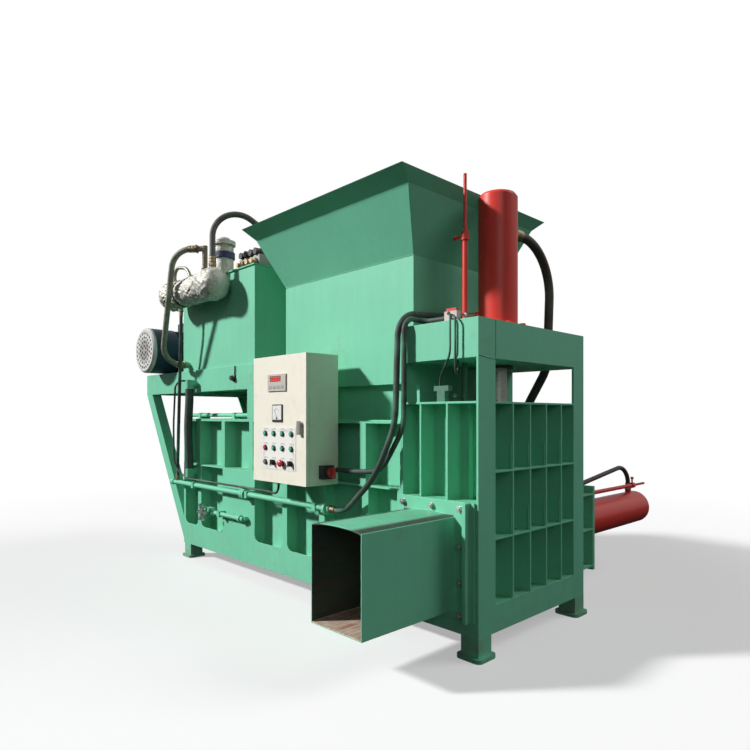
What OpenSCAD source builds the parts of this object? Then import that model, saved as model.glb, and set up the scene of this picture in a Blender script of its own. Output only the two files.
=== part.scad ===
/* [Body] */
// Depth of the body, from the front ribs to the rear ribs
body_d = 946; // [920:2:980]
// Length of the pressing chamber, left of the tower
chamber_l = 2300; // [2260:10:2400]
// Height of the feet under the base tubes
foot_h = 100; // [80:5:140]
// Height of the base tubes
base_h = 125; // [110:5:140]
// Height of the side frames above the base tubes
chamber_h = 811; // [790:1:840]
// Height of the middle flange above the base tubes
mid_h = 478; // [440:2:520]
// How far the ribs stand out from the walls
rib_d = 90; // [80:2:100]
// Thickness of the chamber walls
wall_t = 10; // [8:1:14]
// Thickness of ribs and flanges
rib_t = 10; // [8:1:14]
// Wall of the base tubes
tube_t = 8; // [6:1:10]
// Distance from the left end to the first rib
rib_start = 250; // [230:5:270]
// Spacing of the ribs
rib_pitch = 358; // [340:2:370]
// Width of the front flange on an upper rib
rib_flange = 40; // [25:1:50]
// Thickness of the skirt plate with the windows
skirt_t = 8; // [6:1:10]
// Strip of skirt plate left beside each rib
window_edge = 20; // [14:1:40]
// Corner radius at the bottom of a window
window_r = 45; // [20:1:60]
// Height of the window sill above the base tubes
window_sill = 31; // [20:1:60]

/* [Feet] */
// Width of a foot's post
foot_w = 95; // [80:1:110]
// How far the foot pad stands out from the post
pad_edge = 20; // [12:1:24]
// Thickness of a foot pad
pad_t = 18; // [12:1:24]
// Corner radius of a foot pad
pad_r = 26; // [10:1:30]
// Distance from the left end to the left feet
foot_left = 18; // [10:1:60]

/* [Tower] */
// Width of the press tower
tower_w = 458; // [450:2:500]
// Height of the press tower
tower_h = 1496; // [1470:2:1540]
// Height of the head box on the tower
head_h = 175; // [150:5:190]
// Height of the tower windows, from their shelf to the head
window_h = 191; // [171:1:211]
// Depth of the ribbed end wall
end_d = 128; // [110:2:140]
// Thickness of post plates and of the head's walls
post_t = 12; // [10:1:16]
// Width of the front corner post
post_front = 127; // [116:1:140]
// Spacing of the upright ribs on the end wall
end_pitch = 147; // [140:1:150]
// Height of the lower cross rib on the end wall
end_rib_low = 520; // [480:5:560]
// Height of the upper cross rib on the end wall
end_rib_high = 820; // [780:5:860]
// Distance from the end face to the first front rib
front_rib_a = 180; // [150:5:200]
// Distance from the end face to the second front rib
front_rib_b = 340; // [310:5:370]

/* [Bale and spout] */
// Width of a bale
bale_w = 300; // [280:2:310]
// Height of a bale
bale_h = 400; // [380:2:410]
// Drop of the chamber floor below the top of the base tubes
floor_drop = 15; // [12:1:30]
// Thickness of the floor plate
floor_t = 12; // [10:1:16]
// Length of the outlet spout
spout_l = 570; // [500:5:620]
// Sheet thickness of the spout
spout_t = 6; // [4:0.5:8]
// Rise of the spout's crowned top sheet
spout_crown = 14; // [8:1:20]
// Thickness of the spout flange
flange_t = 12; // [10:1:16]
// Height of the flange above the mouth
flange_up = 76; // [60:1:90]
// Depth of the flange below the mouth
flange_down = 45; // [38:1:60]
// Width of a flange bolt across flats
bolt_af = 24; // [18:1:27]

/* [Hopper] */
// Length of the hopper chute
chute_l = 1088; // [1040:4:1110]
// Distance from the body's front to the chute
chute_in = 90; // [60:2:110]
// Distance from the body's front to the narrower throat
throat_in = 135; // [122:1:150]
// Height of the throat
throat_h = 200; // [180:2:240]
// Height of the straight chute above the throat
chute_h = 632; // [580:4:660]
// Height of the flared part
flare_h = 289; // [260:1:310]
// Spread of the flare to each end
flare_x = 104; // [70:1:108]
// Spread of the flare to front and rear
flare_y = 150; // [100:2:170]
// Height of the turned out lip
lip_h = 62; // [40:1:70]
// Spread of the lip to each end
lip_x = 38; // [20:1:40]
// Spread of the lip to front and rear
lip_y = 84; // [40:1:90]
// Sheet thickness of the hopper
sheet_t = 5; // [4:0.5:8]

/* [Main ram] */
// Stroke of the main ram
main_stroke = 1110; // [1000:10:1110]
// Outer diameter of the main cylinder
main_od = 220; // [190:2:240]
// Wall of the main cylinder
main_wall = 20; // [14:1:24]
// Diameter of the main piston rod
main_rod_d = 120; // [90:2:130]
// How far the main cylinder stands out behind the end plate
main_tail = 192; // [170:2:220]
// Running clearance around the ram
ram_gap = 5; // [3:0.5:8]

/* [Press cylinder] */
// Distance from the end face to the press cylinder
press_in = 226; // [222:1:240]
// Gap between the raised platen and the head
platen_gap = 216; // [200:2:260]
// Outer diameter of the press cylinder
press_od = 200; // [180:2:202]
// Height of the press cylinder above the head
press_l = 700; // [690:5:720]
// Diameter of the press piston rod
press_rod_d = 90; // [70:2:110]
// Height of the platen
platen_h = 90; // [60:2:100]
// Distance of the trip rod from the front
trip_y = 200; // [170:5:240]
// Diameter of the trip rods
trip_d = 26; // [18:1:28]

/* [Ejector] */
// Length of the ejector guide behind the tower
guide_l = 254; // [220:2:280]
// Length of the ejector cylinder
eject_l = 1080; // [1040:5:1120]
// Outer diameter of the ejector cylinder
eject_od = 220; // [190:2:230]
// Stroke of the ejector plate
eject_stroke = 840; // [700:10:840]
// Diameter of the ejector piston rod
eject_rod_d = 90; // [70:2:110]
// Thickness of the ejector plate
eject_t = 40; // [30:1:50]

/* [Power pack] */
// Length of the power pack platform
plat_l = 1660; // [1600:5:1700]
// Distance from the hopper chute to the platform
plat_gap = 232; // [210:2:260]
// Height of the platform's underside above the chamber
plat_up = 205; // [180:1:230]
// Height of the platform beams
beam_h = 154; // [130:2:170]
// Thickness of the platform deck
deck_t = 10; // [6:1:12]
// Width of a platform post
post_w = 76; // [60:2:100]
// Width of the leaning struts
strut_w = 90; // [70:2:110]
// Length of the oil tank
tank_l = 1006; // [960:2:1030]
// Depth of the oil tank
tank_d = 780; // [700:5:820]
// Height of the oil tank
tank_h = 653; // [600:1:700]
// Distance of the tank behind the body's front
tank_in = 12; // [6:1:20]
// Diameter of the oil cooler's shell
cooler_d = 172; // [150:2:184]
// Length of the oil cooler between its flanges
cooler_l = 580; // [540:5:640]
// Shaft height of the motor
motor_axis = 180; // [180:1:200]
// Diameter of the motor's fan cover
motor_d = 356; // [330:2:358]
// Distance from the platform's left end to the motor's axis
motor_in = 300; // [270:2:330]
// How far the fan cover stands in front of the platform
motor_out = 150; // [100:5:170]

/* [Control box] */
// Width of the control box
box_w = 500; // [490:2:520]
// Height of the control box
box_h = 700; // [690:2:720]
// Depth of the control box with its door
box_d = 217; // [200:1:230]
// Distance from the tower to the control box
box_gap = 476; // [460:2:500]
// Height of the control box above the middle flange
box_drop = -7; // [-20:1:0]
// Sheet thickness of the control box
box_t = 3; // [2:0.5:4]
// Spacing of the push buttons across
button_dx = 82; // [70:1:84]
// Spacing of the push buttons in height
button_dz = 80; // [60:1:84]
// Diameter of a button's bezel
bezel_d = 30; // [28:0.5:34]
// Diameter of a button
button_d = 22; // [18:0.5:24]
// Travel of a push button
button_travel = 4; // [3:0.5:5]

/* [Pipes] */
// Diameter of the front pipe
pipe_d = 34; // [26:1:40]
// Height of the front pipe
pipe_z = 560; // [540:2:580]
// Distance of the front pipe from the body
pipe_out = 40; // [34:1:50]
// Diameter of the thick hoses
hose_d = 40; // [32:1:44]
// Diameter of the thin hoses
hose_thin = 24; // [18:1:28]

/* [Hidden] */
$fn = 48;
fit = 0.5;

// heights
base_top = foot_h + base_h;
floor_z = base_top - floor_drop;
z_top = base_top + chamber_h;
z_mid = base_top + mid_h;
throat_z = z_top + throat_h;
chute_z = throat_z + chute_h;
flare_z = chute_z + flare_h;
lip_z = flare_z + lip_h;
plat_z = z_top + plat_up;
deck_z = plat_z + beam_h + deck_t;
tank_z = deck_z + tank_h;
head_z = tower_h - head_h;
shelf_z = head_z - window_h;
mouth_z = floor_z + bale_h;

// places along the machine, right end at zero
x_t = -tower_w;
x_l = x_t - chamber_l;
mouth_r = -end_d;
mouth_l = mouth_r - bale_w;
chute_r = x_t - 2;
chute_x = chute_r - chute_l;
plat_r = chute_x - plat_gap;
plat_x = plat_r - plat_l;
tank_r = plat_r - 4;
tank_x = tank_r - tank_l;
motor_x = plat_x + motor_in;
box_r = x_t - box_gap;
box_x = box_r - box_w;
press_x = -press_in;
mouth_x = (mouth_l + mouth_r) / 2;

// places across the machine, front face at zero
y_in = rib_d + wall_t;
y_far = body_d - y_in;
y_mid = body_d / 2;
guide_y = body_d + guide_l;
guide_t = 25;
eject_y = guide_y + eject_l;
rear_post = y_in + rib_t;

// the origin lies on the floor, under the middle of the part's box
mid_x = (plat_x + pad_edge) / 2;
mid_y = (eject_y - spout_l) / 2;

// rams
ram_lo = floor_z + ram_gap;
ram_hi = z_top - ram_gap;
ram_z = (ram_lo + ram_hi) / 2;
ram_x = mouth_l - 2 - main_stroke;
ram_plate = 40;
ram_l = 420;
end_t = 30;
gland_l = 90;
cap_t = 40;
main_x = ram_x - ram_plate - 40;
main_l = max(main_stroke + gland_l + cap_t + 90, main_x - x_l + main_tail);
piston_l = 60;
platen_top = head_z - platen_gap;
platen_z = platen_top - platen_h;
press_stroke = platen_z - mouth_z - 10;
press_top = tower_h + press_l;
port_l = press_od / 2 + 20;
eject_z = floor_z + bale_h / 2;
trip_x = mouth_x + 63;
trip_z = mouth_z - 30;

// control box
door_t = 20;
box_z = z_mid + box_drop;
box_y = -box_d;
door_y = box_y + door_t;
panel_t = 2;
panel_y = box_y - panel_t;
hinge_x = box_x - 7;
hinge_y = box_y + 11;
button_x = box_x + 128;
button_z = box_z + 0.16 * box_h;
lock_x = box_r - 46;
lock_z = box_z + 0.466 * box_h;
iso_y = -95;
iso_z = box_z + 0.1 * box_h;

// paints
green = [0.36, 0.70, 0.54];
dark_green = [0.20, 0.45, 0.36];
red = [0.80, 0.16, 0.12];
cream = [0.93, 0.91, 0.83];
steel = [0.62, 0.63, 0.64];
silver = [0.80, 0.81, 0.82];
black = [0.10, 0.10, 0.11];
navy = [0.12, 0.16, 0.24];
rubber = [0.16, 0.15, 0.14];
brass = [0.75, 0.60, 0.30];

// shared shapes

module place() translate([-mid_x, -mid_y, 0]) children();

module box(a, b) translate(a) cube(b - a);

module rod_x(a, b, y, z, d) translate([a, y, z]) rotate([0, 90, 0]) cylinder(d = d, h = b - a);

module rod_y(a, b, x, z, d) translate([x, a, z]) rotate([-90, 0, 0]) cylinder(d = d, h = b - a);

module rod_z(a, b, x, y, d) translate([x, y, a]) cylinder(d = d, h = b - a);

module hex_y(a, b, x, z, af) {
    translate([x, a, z]) rotate([-90, 0, 0]) cylinder(d = af / cos(30), h = b - a, $fn = 6);
}

// an outline in the XZ plane, given thickness from y = a to y = b
module slab_y(a, b) translate([0, b, 0]) rotate([90, 0, 0]) linear_extrude(b - a) children();

module mirrored_rear() translate([0, body_d, 0]) mirror([0, 1, 0]) children();

// a rectangle with its two lower corners rounded
module window(w, h, r) {
    translate([r, 0]) square([w - 2 * r, h]);
    translate([0, r]) square([w, h - r]);
    translate([r, r]) circle(r);
    translate([w - r, r]) circle(r);
}

module rounded(w, d, r) {
    translate([r, 0]) square([w - 2 * r, d]);
    translate([0, r]) square([w, d - 2 * r]);
    for (x = [r, w - r], y = [r, d - r]) translate([x, y]) circle(r);
}

// a four sided block with a rectangle a below and a rectangle b above, each [x0, x1, y0, y1]
module taper(a, b, z0, z1) {
    corners = [
        [a[0], a[2], z0], [a[1], a[2], z0], [a[1], a[3], z0], [a[0], a[3], z0],
        [b[0], b[2], z1], [b[1], b[2], z1], [b[1], b[3], z1], [b[0], b[3], z1]];
    polyhedron(corners, [[0, 1, 2, 3], [4, 7, 6, 5],
        [0, 4, 5, 1], [1, 5, 6, 2], [2, 6, 7, 3], [3, 7, 4, 0]]);
}

function unit(v) = v / norm(v);

// the arc of radius r that rounds the corner b on the way from a to c
function bend(a, b, c, r) =
    let (u = unit(a - b), w = unit(c - b), half = acos(u * w) / 2, turn = 180 - 2 * half)
    let (mid = b + unit(u + w) * r / sin(half), n = ceil(turn / 15))
    let (x = unit(b + u * r / tan(half) - mid), y = unit(b + w * r / tan(half) - mid))
    [for (i = [0:n]) mid + r / sin(turn) * (sin(turn - i * turn / n) * x + sin(i * turn / n) * y)];

// straight runs between corners p, each corner rounded with its radius in r
function route(p, r) = concat([p[0]],
    [for (k = [1:len(p) - 2], q = bend(p[k - 1], p[k], p[k + 1], r[k - 1])) q], [p[len(p) - 1]]);

function along(p, i) = unit(p[min(i + 1, len(p) - 1)] - p[max(i - 1, 0)]);
function side(t) = abs(t[0]) > 0.9 ? unit(cross(t, [0, 0, 1])) : unit(cross(t, [1, 0, 0]));

// a round tube swept along points, its rings carried on without a twist
module sweep(p, d, n = 8) {
    count = len(p);
    t = [for (i = [0:count - 1]) along(p, i)];
    us = [for (i = 0, u = side(t[0]); i < count; i = i + 1,
        u = i < count ? unit(u - (u * t[i]) * t[i]) : u) u];
    verts = [for (i = [0:count - 1], k = [0:n - 1])
        p[i] + d / 2 * (cos(360 * k / n) * us[i] + sin(360 * k / n) * cross(t[i], us[i]))];
    last = (count - 1) * n;
    sides = [for (i = [0:count - 2], k = [0:n - 1])
        [i * n + k, (i + 1) * n + k, (i + 1) * n + (k + 1) % n, i * n + (k + 1) % n]];
    ends = [[for (k = [0:n - 1]) k], [for (k = [n - 1:-1:0]) last + k]];
    polyhedron(verts, concat(sides, ends));
}

// body

function rib_x(k) = x_l + rib_start + k * rib_pitch;
rib_n = floor((chamber_l - rib_start - 150) / rib_pitch) + 1;

module side_frame(closed_bay) {
    bays = concat([x_l + rib_t], [for (k = [0:rib_n - 1]) rib_x(k) + rib_t / 2]);
    ends = concat([for (k = [0:rib_n - 1]) rib_x(k) - rib_t / 2], [x_t - rib_t]);
    difference() {
        box([x_l, 0, foot_h], [x_t, y_in, base_top]);
        box([x_l - 1, tube_t, foot_h + tube_t], [x_t + 1, y_in - tube_t, base_top - tube_t]);
    }
    box([x_l, rib_d, base_top], [x_t, y_in, z_top]);
    box([x_l, 0, z_top - rib_t], [x_t, y_in, z_top]);
    box([x_l, 0, z_mid - rib_t / 2], [x_t, rib_d, z_mid + rib_t / 2]);
    difference() {
        box([x_l, 0, base_top], [x_t, skirt_t, z_mid]);
        for (k = [0:rib_n]) if (k != closed_bay) {
            translate([bays[k] + window_edge, 0, base_top + window_sill]) slab_y(-1, skirt_t + 1)
                window(ends[k] - bays[k] - 2 * window_edge, mid_h - window_sill - rib_t / 2, window_r);
        }
    }
    for (x = [x_l, x_t - rib_t]) box([x, 0, base_top], [x + rib_t, rib_d, z_top]);
    for (k = [0:rib_n - 1]) {
        box([rib_x(k) - rib_t / 2, 0, base_top], [rib_x(k) + rib_t / 2, rib_d, z_top]);
        box([rib_x(k) - rib_flange, 0, z_mid], [rib_x(k), skirt_t, z_top]);
    }
}

module side_frame_front() color(green) place() side_frame(2);

module side_frame_rear() color(green) place() mirrored_rear() side_frame(-1);

module feet() {
    pad = foot_w + 2 * pad_edge;
    color(green) place() for (x = [x_l + foot_left, -foot_w], y = [0, body_d - foot_w]) {
        translate([x, y, 0]) cube([foot_w, foot_w, foot_h]);
        translate([x - pad_edge, y - pad_edge, 0]) linear_extrude(pad_t) rounded(pad, pad, pad_r);
    }
}

module chamber_floor() {
    beam = 80;
    beams = 6;
    under = floor_z - floor_t;
    color(dark_green) place() {
        box([x_l + end_t, y_in, under], [mouth_r, y_far, floor_z]);
        for (k = [0:beams - 1]) {
            x = x_l + 160 + k * (chamber_l + tower_w - end_d - 320 - beam) / (beams - 1);
            difference() {
                box([x, y_in, foot_h], [x + beam, y_far, under]);
                box([x + tube_t, y_in - 1, foot_h - 1], [x + beam - tube_t, y_far + 1, under - tube_t]);
            }
        }
    }
}

module chamber_end_plate() {
    color(green) place() difference() {
        union() {
            box([x_l, y_in, foot_h], [x_l + end_t, y_far, z_top]);
            for (y = [y_mid - main_od / 2 - 90, y_mid + main_od / 2 + 80])
                box([x_l - 50, y, foot_h], [x_l, y + rib_t, z_top]);
        }
        rod_x(x_l - 1, x_l + end_t + 1, y_mid, ram_z, main_od + 2 * fit);
    }
}

module chamber_cover() {
    color(green) place() box([x_l, 0, z_top], [chute_x, body_d, z_top + 8]);
}

// hopper

module chute_ring(z0, z1, inset) difference() {
    box([chute_x, inset, z0], [chute_r, body_d - inset, z1]);
    box([chute_x + sheet_t, inset + sheet_t, z0 - 1],
        [chute_r - sheet_t, body_d - inset - sheet_t, z1 + 1]);
}

module chute_ledges(t) {
    box([chute_x, 40, z_top], [chute_r, throat_in + sheet_t, z_top + t]);
    box([chute_x, chute_in, throat_z - t], [chute_r, throat_in + sheet_t, throat_z]);
}

module hopper_chute() {
    ledge = 8;
    color(green) place() {
        chute_ring(z_top, throat_z, throat_in);
        chute_ring(throat_z - ledge, chute_z, chute_in);
        chute_ledges(ledge);
        mirrored_rear() chute_ledges(ledge);
    }
}

module hopper_flare() {
    low = [chute_x, chute_r, chute_in, body_d - chute_in];
    spread = [-flare_x, flare_x, -flare_y, flare_y];
    turn = [-lip_x, lip_x, -lip_y, lip_y];
    inset = [sheet_t, -sheet_t, sheet_t, -sheet_t];
    color(green) place() difference() {
        union() {
            taper(low, low + spread, chute_z, flare_z);
            taper(low + spread, low + spread + turn, flare_z, lip_z);
        }
        taper(low + inset, low + spread + inset, chute_z, flare_z);
        taper(low + spread + inset, low + spread + turn + inset, flare_z, lip_z);
    }
}

// tower

// the mouth frame, ribs and shelf that the front and rear walls of the tower share
module tower_wall() {
    lining = 10;
    wall_r = mouth_r + post_t;
    difference() {
        union() {
            box([x_t, 0, foot_h], [-post_t, y_in, floor_z]);
            box([x_t, 0, floor_z], [-post_t, post_t, mouth_z + flange_up]);
            box([x_t, rib_d, floor_z], [wall_r, y_in, shelf_z]);
            box([mouth_l - lining, 0, floor_z], [mouth_r + lining, y_in, mouth_z + lining]);
            box([x_t, 0, mouth_z + flange_up - rib_t], [-post_t, rib_d, mouth_z + flange_up]);
        }
        box([x_t - 1, tube_t, foot_h + tube_t], [1, y_in - tube_t, floor_z - tube_t]);
        box([mouth_l, -1, floor_z], [mouth_r, y_in + 1, mouth_z]);
    }
    for (x = [x_t, -front_rib_b, -front_rib_a])
        box([x, 0, mouth_z + flange_up], [x + rib_t, rib_d, shelf_z]);
    box([x_t, 0, shelf_z - rib_t], [-post_t, y_in, shelf_z]);
    box([x_t, 0, shelf_z], [x_t + post_t, y_in, head_z]);
}

module tower_front() color(green) place() tower_wall();

module tower_rear() color(green) place() mirrored_rear() tower_wall();

module tower_end() {
    deep = mouth_r + post_t;
    color(green) place() {
        box([mouth_r, y_in, foot_h], [deep, y_far, shelf_z]);
        difference() {
            box([deep, y_in, foot_h], [0, y_far, base_top]);
            box([deep + tube_t, y_in - 1, foot_h + tube_t], [-tube_t, y_far + 1, base_top - tube_t]);
        }
        for (y = [post_front - rib_t, post_front - rib_t + end_pitch, post_front - rib_t + 2 * end_pitch,
                post_front - rib_t + 3 * end_pitch, post_front - rib_t + 4 * end_pitch, y_far - rib_t])
            box([deep, y, base_top], [0, y + rib_t, shelf_z]);
        for (z = [end_rib_low, end_rib_high, shelf_z])
            box([deep, post_front - rib_t, z - rib_t], [0, y_far, z]);
        box([mouth_r, y_in, shelf_z - rib_t], [-post_t, y_far, shelf_z]);
        box([-post_t, 0, foot_h], [0, post_front, head_z]);
        box([-post_t, body_d - rear_post, foot_h], [0, body_d, head_z]);
    }
}

neck_d = 150;

module tower_head() {
    top_t = 16;
    color(green) place() difference() {
        box([x_t, 0, head_z], [0, body_d, tower_h]);
        box([x_t + post_t, post_t, head_z + top_t], [-post_t, body_d - post_t, tower_h - top_t]);
        rod_z(head_z - 1, tower_h + 1, press_x, y_mid, neck_d + 2 * fit);
        rod_z(head_z - 1, tower_h + 1, press_x, trip_y, trip_d + 2 * fit);
    }
}

module eject_guide() {
    wall = 10;
    flange = 50;
    color(green) place() difference() {
        union() {
            box([mouth_l - wall, body_d, floor_z - wall], [mouth_r + wall, guide_y, mouth_z + wall]);
            for (y = [body_d, guide_y - guide_t]) box([mouth_l - flange + 22, y, floor_z - 30],
                [mouth_r + flange + 18, y + (y == body_d ? wall : guide_t), mouth_z + flange]);
            for (z = [floor_z - wall, eject_z, mouth_z])
                box([mouth_r, body_d, z], [mouth_r + flange + 18, guide_y, z + wall]);
        }
        box([mouth_l, body_d - 1, floor_z], [mouth_r, guide_y - guide_t, mouth_z]);
        rod_y(body_d, guide_y + 1, mouth_x, eject_z, neck_d + 2 * fit);
        rod_y(body_d, guide_y + 1, trip_x, trip_z, trip_d + 2 * fit);
    }
}

// rams

module main_barrel() {
    color(red) place() difference() {
        union() {
            rod_x(main_x - main_l, main_x, y_mid, ram_z, main_od);
            rod_x(x_l + end_t, x_l + end_t + 30, y_mid, ram_z, main_od + 100);
            for (a = [0:60:300]) translate([x_l + end_t + 30, y_mid, ram_z]) rotate([a, 0, 0])
                translate([0, 0, main_od / 2 + 27]) rotate([0, 90, 0]) cylinder(d = 32, h = 16, $fn = 6);
            for (x = [main_x - main_l + 60, main_x - 130])
                rod_z(ram_z, ram_z + main_od / 2 + 24, x, y_mid, 50);
        }
        rod_x(main_x - main_l + cap_t, main_x - gland_l, y_mid, ram_z, main_od - 2 * main_wall);
        rod_x(main_x - main_l + cap_t, main_x + 1, y_mid, ram_z, main_rod_d + 2 * fit);
    }
}

module main_rod() {
    piston = main_x - main_l + cap_t + 10;
    color(steel) place() {
        rod_x(piston, piston + piston_l, y_mid, ram_z, main_od - 2 * main_wall - 2 * fit);
        rod_x(piston, ram_x - ram_plate, y_mid, ram_z, main_rod_d);
    }
}

module main_ram() {
    y0 = y_in + ram_gap;
    y1 = y_far - ram_gap;
    web = 12;
    color(dark_green) place() {
        box([ram_x - ram_plate, y0, ram_lo], [ram_x, y1, ram_hi]);
        box([ram_x - ram_l, y0, ram_lo], [ram_x, y1, ram_lo + web]);
        box([ram_x - main_stroke, y0, ram_hi - web], [ram_x, y1, ram_hi]);
        for (y = [y0, y1 - web]) box([ram_x - ram_l, y, ram_lo], [ram_x, y + web, ram_hi]);
        for (y = [y_mid - 200, y_mid + 200 - web]) slab_y(y, y + web) polygon([[ram_x, ram_hi],
            [ram_x - main_stroke, ram_hi], [ram_x - main_stroke, ram_hi - 60],
            [ram_x - ram_l, ram_hi - 110], [ram_x - 90, ram_z], [ram_x - 90, ram_lo], [ram_x, ram_lo]]);
    }
}

module press_barrel() {
    flange = 24;
    wall = 16;
    color(red) place() difference() {
        union() {
            rod_z(tower_h, press_top - 18, press_x, y_mid, press_od);
            translate([press_x, y_mid, press_top - 18]) cylinder(d1 = press_od, d2 = press_od - 24, h = 18);
            rod_z(tower_h, tower_h + flange, press_x, y_mid, press_od + 90);
            rod_z(head_z - 14, tower_h, press_x, y_mid, neck_d);
            for (a = [30:60:330]) translate([press_x, y_mid, tower_h + flange]) rotate([0, 0, a])
                translate([press_od / 2 + 24, 0, 0]) cylinder(d = 30, h = 14, $fn = 6);
            rod_y(y_mid, y_mid + port_l + 7, press_x, press_top - 166, 56);
            translate([press_x, y_mid, tower_h + 80]) rotate([0, 90, 225]) cylinder(d = 46, h = port_l);
        }
        rod_z(tower_h + 34, press_top - 40, press_x, y_mid, press_od - 2 * wall);
        rod_z(head_z - 15, press_top - 40, press_x, y_mid, press_rod_d + 2 * fit);
    }
}

module press_rod() {
    piston = press_top - 50 - piston_l;
    color(steel) place() {
        rod_z(platen_top, piston + piston_l, press_x, y_mid, press_rod_d);
        rod_z(piston, piston + piston_l, press_x, y_mid, press_od - 32 - 2 * fit);
    }
}

module press_platen() {
    x0 = mouth_l + 3;
    x1 = mouth_r - 3;
    y0 = y_in + ram_gap;
    y1 = y_far - ram_gap;
    web = 16;
    collar_z = tower_h + press_stroke + 20;
    color(dark_green) place() {
        box([x0, y0, platen_z], [x1, y1, platen_z + 30]);
        for (x = [x0, x1 - web]) box([x, y0, platen_z], [x + web, y1, platen_top]);
        for (y = [y0, y_mid - 130, y_mid + 130 - web, y1 - web])
            box([x0, y, platen_z], [x1, y + web, platen_top]);
        rod_z(platen_z, platen_top, press_x, y_mid, press_rod_d + 70);
        rod_z(platen_z, platen_top, press_x, trip_y, trip_d + 24);
        rod_z(platen_z, collar_z + 20, press_x, trip_y, trip_d);
        rod_z(collar_z, collar_z + 42, press_x, trip_y, trip_d + 12);
        rod_z(collar_z, collar_z + 320, press_x, trip_y, trip_d - 9);
        rod_x(press_x - 58, press_x, trip_y, collar_z + 21, 11);
        rod_x(press_x - 66, press_x - 52, trip_y, collar_z + 21, 20);
    }
}

module eject_barrel() {
    wall = 18;
    flange = 24;
    port_y = eject_y - 120;
    color(red) place() difference() {
        union() {
            rod_y(guide_y, eject_y - 22, mouth_x, eject_z, eject_od);
            translate([mouth_x, eject_y - 22, eject_z]) rotate([-90, 0, 0])
                cylinder(d1 = eject_od, d2 = eject_od - 36, h = 22);
            rod_y(guide_y, guide_y + flange, mouth_x, eject_z, eject_od + 84);
            rod_y(guide_y - guide_t, guide_y, mouth_x, eject_z, neck_d);
            for (a = [30:60:330]) translate([mouth_x, guide_y + flange, eject_z]) rotate([0, a, 0])
                translate([0, 0, eject_od / 2 + 23]) rotate([-90, 0, 0]) cylinder(d = 30, h = 14, $fn = 6);
            rod_z(eject_z, eject_z + eject_od / 2 + 20, mouth_x, port_y, 40);
            rod_z(eject_z, eject_z + eject_od / 2 + 20, mouth_x, guide_y + 90, 40);
        }
        rod_y(guide_y + 70, eject_y - 40, mouth_x, eject_z, eject_od - 2 * wall);
        rod_y(guide_y - guide_t - 1, eject_y - 40, mouth_x, eject_z, eject_rod_d + 2 * fit);
    }
}

plate_y = y_far + 4;

module eject_rod() {
    piston = eject_y - 50 - piston_l;
    color(steel) place() {
        rod_y(plate_y + eject_t, piston + piston_l, mouth_x, eject_z, eject_rod_d);
        rod_y(piston, piston + piston_l, mouth_x, eject_z, eject_od - 36 - 2 * fit);
    }
}

module eject_plate() {
    x0 = mouth_l + 3;
    x1 = mouth_r - 3;
    z0 = floor_z + 3;
    z1 = mouth_z - 4;
    collar_y = guide_y + eject_stroke + 20;
    color(dark_green) place() {
        box([x0, plate_y, z0], [x1, plate_y + eject_t, z1]);
        for (x = [x0, x1 - 16]) box([x, plate_y, z0], [x + 16, plate_y + 160, z1]);
        rod_y(plate_y, collar_y + 20, trip_x, trip_z, trip_d);
        rod_y(collar_y, collar_y + 40, trip_x, trip_z, trip_d + 12);
        rod_y(collar_y, eject_y - 5, trip_x, trip_z, trip_d - 9);
        rod_z(trip_z, trip_z + 52, trip_x, collar_y + 20, 11);
        rod_z(trip_z + 44, trip_z + 58, trip_x, collar_y + 20, 20);
    }
}

// outlet spout

module spout_outline(grow) {
    half = bale_w / 2 + grow;
    arc = (half * half + spout_crown * spout_crown) / (2 * spout_crown);
    top = mouth_z + grow + spout_crown;
    intersection() {
        translate([mouth_x - half, floor_z - grow]) square([2 * half, top - floor_z + 3 * grow + 20]);
        translate([mouth_x, top - arc]) circle(arc, $fn = 96);
    }
}

flange_top = mouth_z + flange_up;
flange_low = floor_z - flange_down;

module spout() {
    bar = 20;
    color(green) place() difference() {
        union() {
            slab_y(-spout_l, -flange_t) spout_outline(spout_t);
            box([x_t + 2, -flange_t, flange_low], [-post_t - 2, 0, flange_top]);
            box([-post_t - 2 - 2 * bar, -flange_t - 36, flange_low],
                [-post_t - 2 - bar, -flange_t, flange_top]);
        }
        slab_y(-spout_l - 1, 1) spout_outline(0);
    }
}

module bolt_y(x, z) {
    rod_y(-flange_t - 3, -flange_t, x, z, 1.25 * bolt_af);
    hex_y(-flange_t - 15, -flange_t - 3, x, z, bolt_af);
    rod_y(-flange_t - 19, -flange_t - 15, x, z, 0.6 * bolt_af);
}

module spout_bolts() {
    right_x = (mouth_r + spout_t - post_t - 42) / 2;
    color(steel) place() {
        for (x = [x_t + 26, mouth_x + 24, right_x], z = [flange_top - 32, flange_low + 20]) bolt_y(x, z);
        for (z = [eject_z + 78, eject_z - 80]) bolt_y(right_x, z);
    }
}

// power pack

module platform_deck() {
    web = 10;
    foot = 60;
    color(green) place() {
        box([plat_x, 0, plat_z + beam_h], [plat_r, body_d, deck_z]);
        for (y = [0, body_d - web]) box([plat_x, y, plat_z], [plat_r, y + web, deck_z]);
        for (y = [0, body_d - foot]) box([plat_x, y, plat_z], [plat_r, y + foot, plat_z + web]);
        for (x = [plat_x, tank_x - 40, (tank_x + tank_r) / 2, plat_r - web])
            box([x, 0, plat_z], [x + web, body_d, deck_z]);
    }
}

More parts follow.
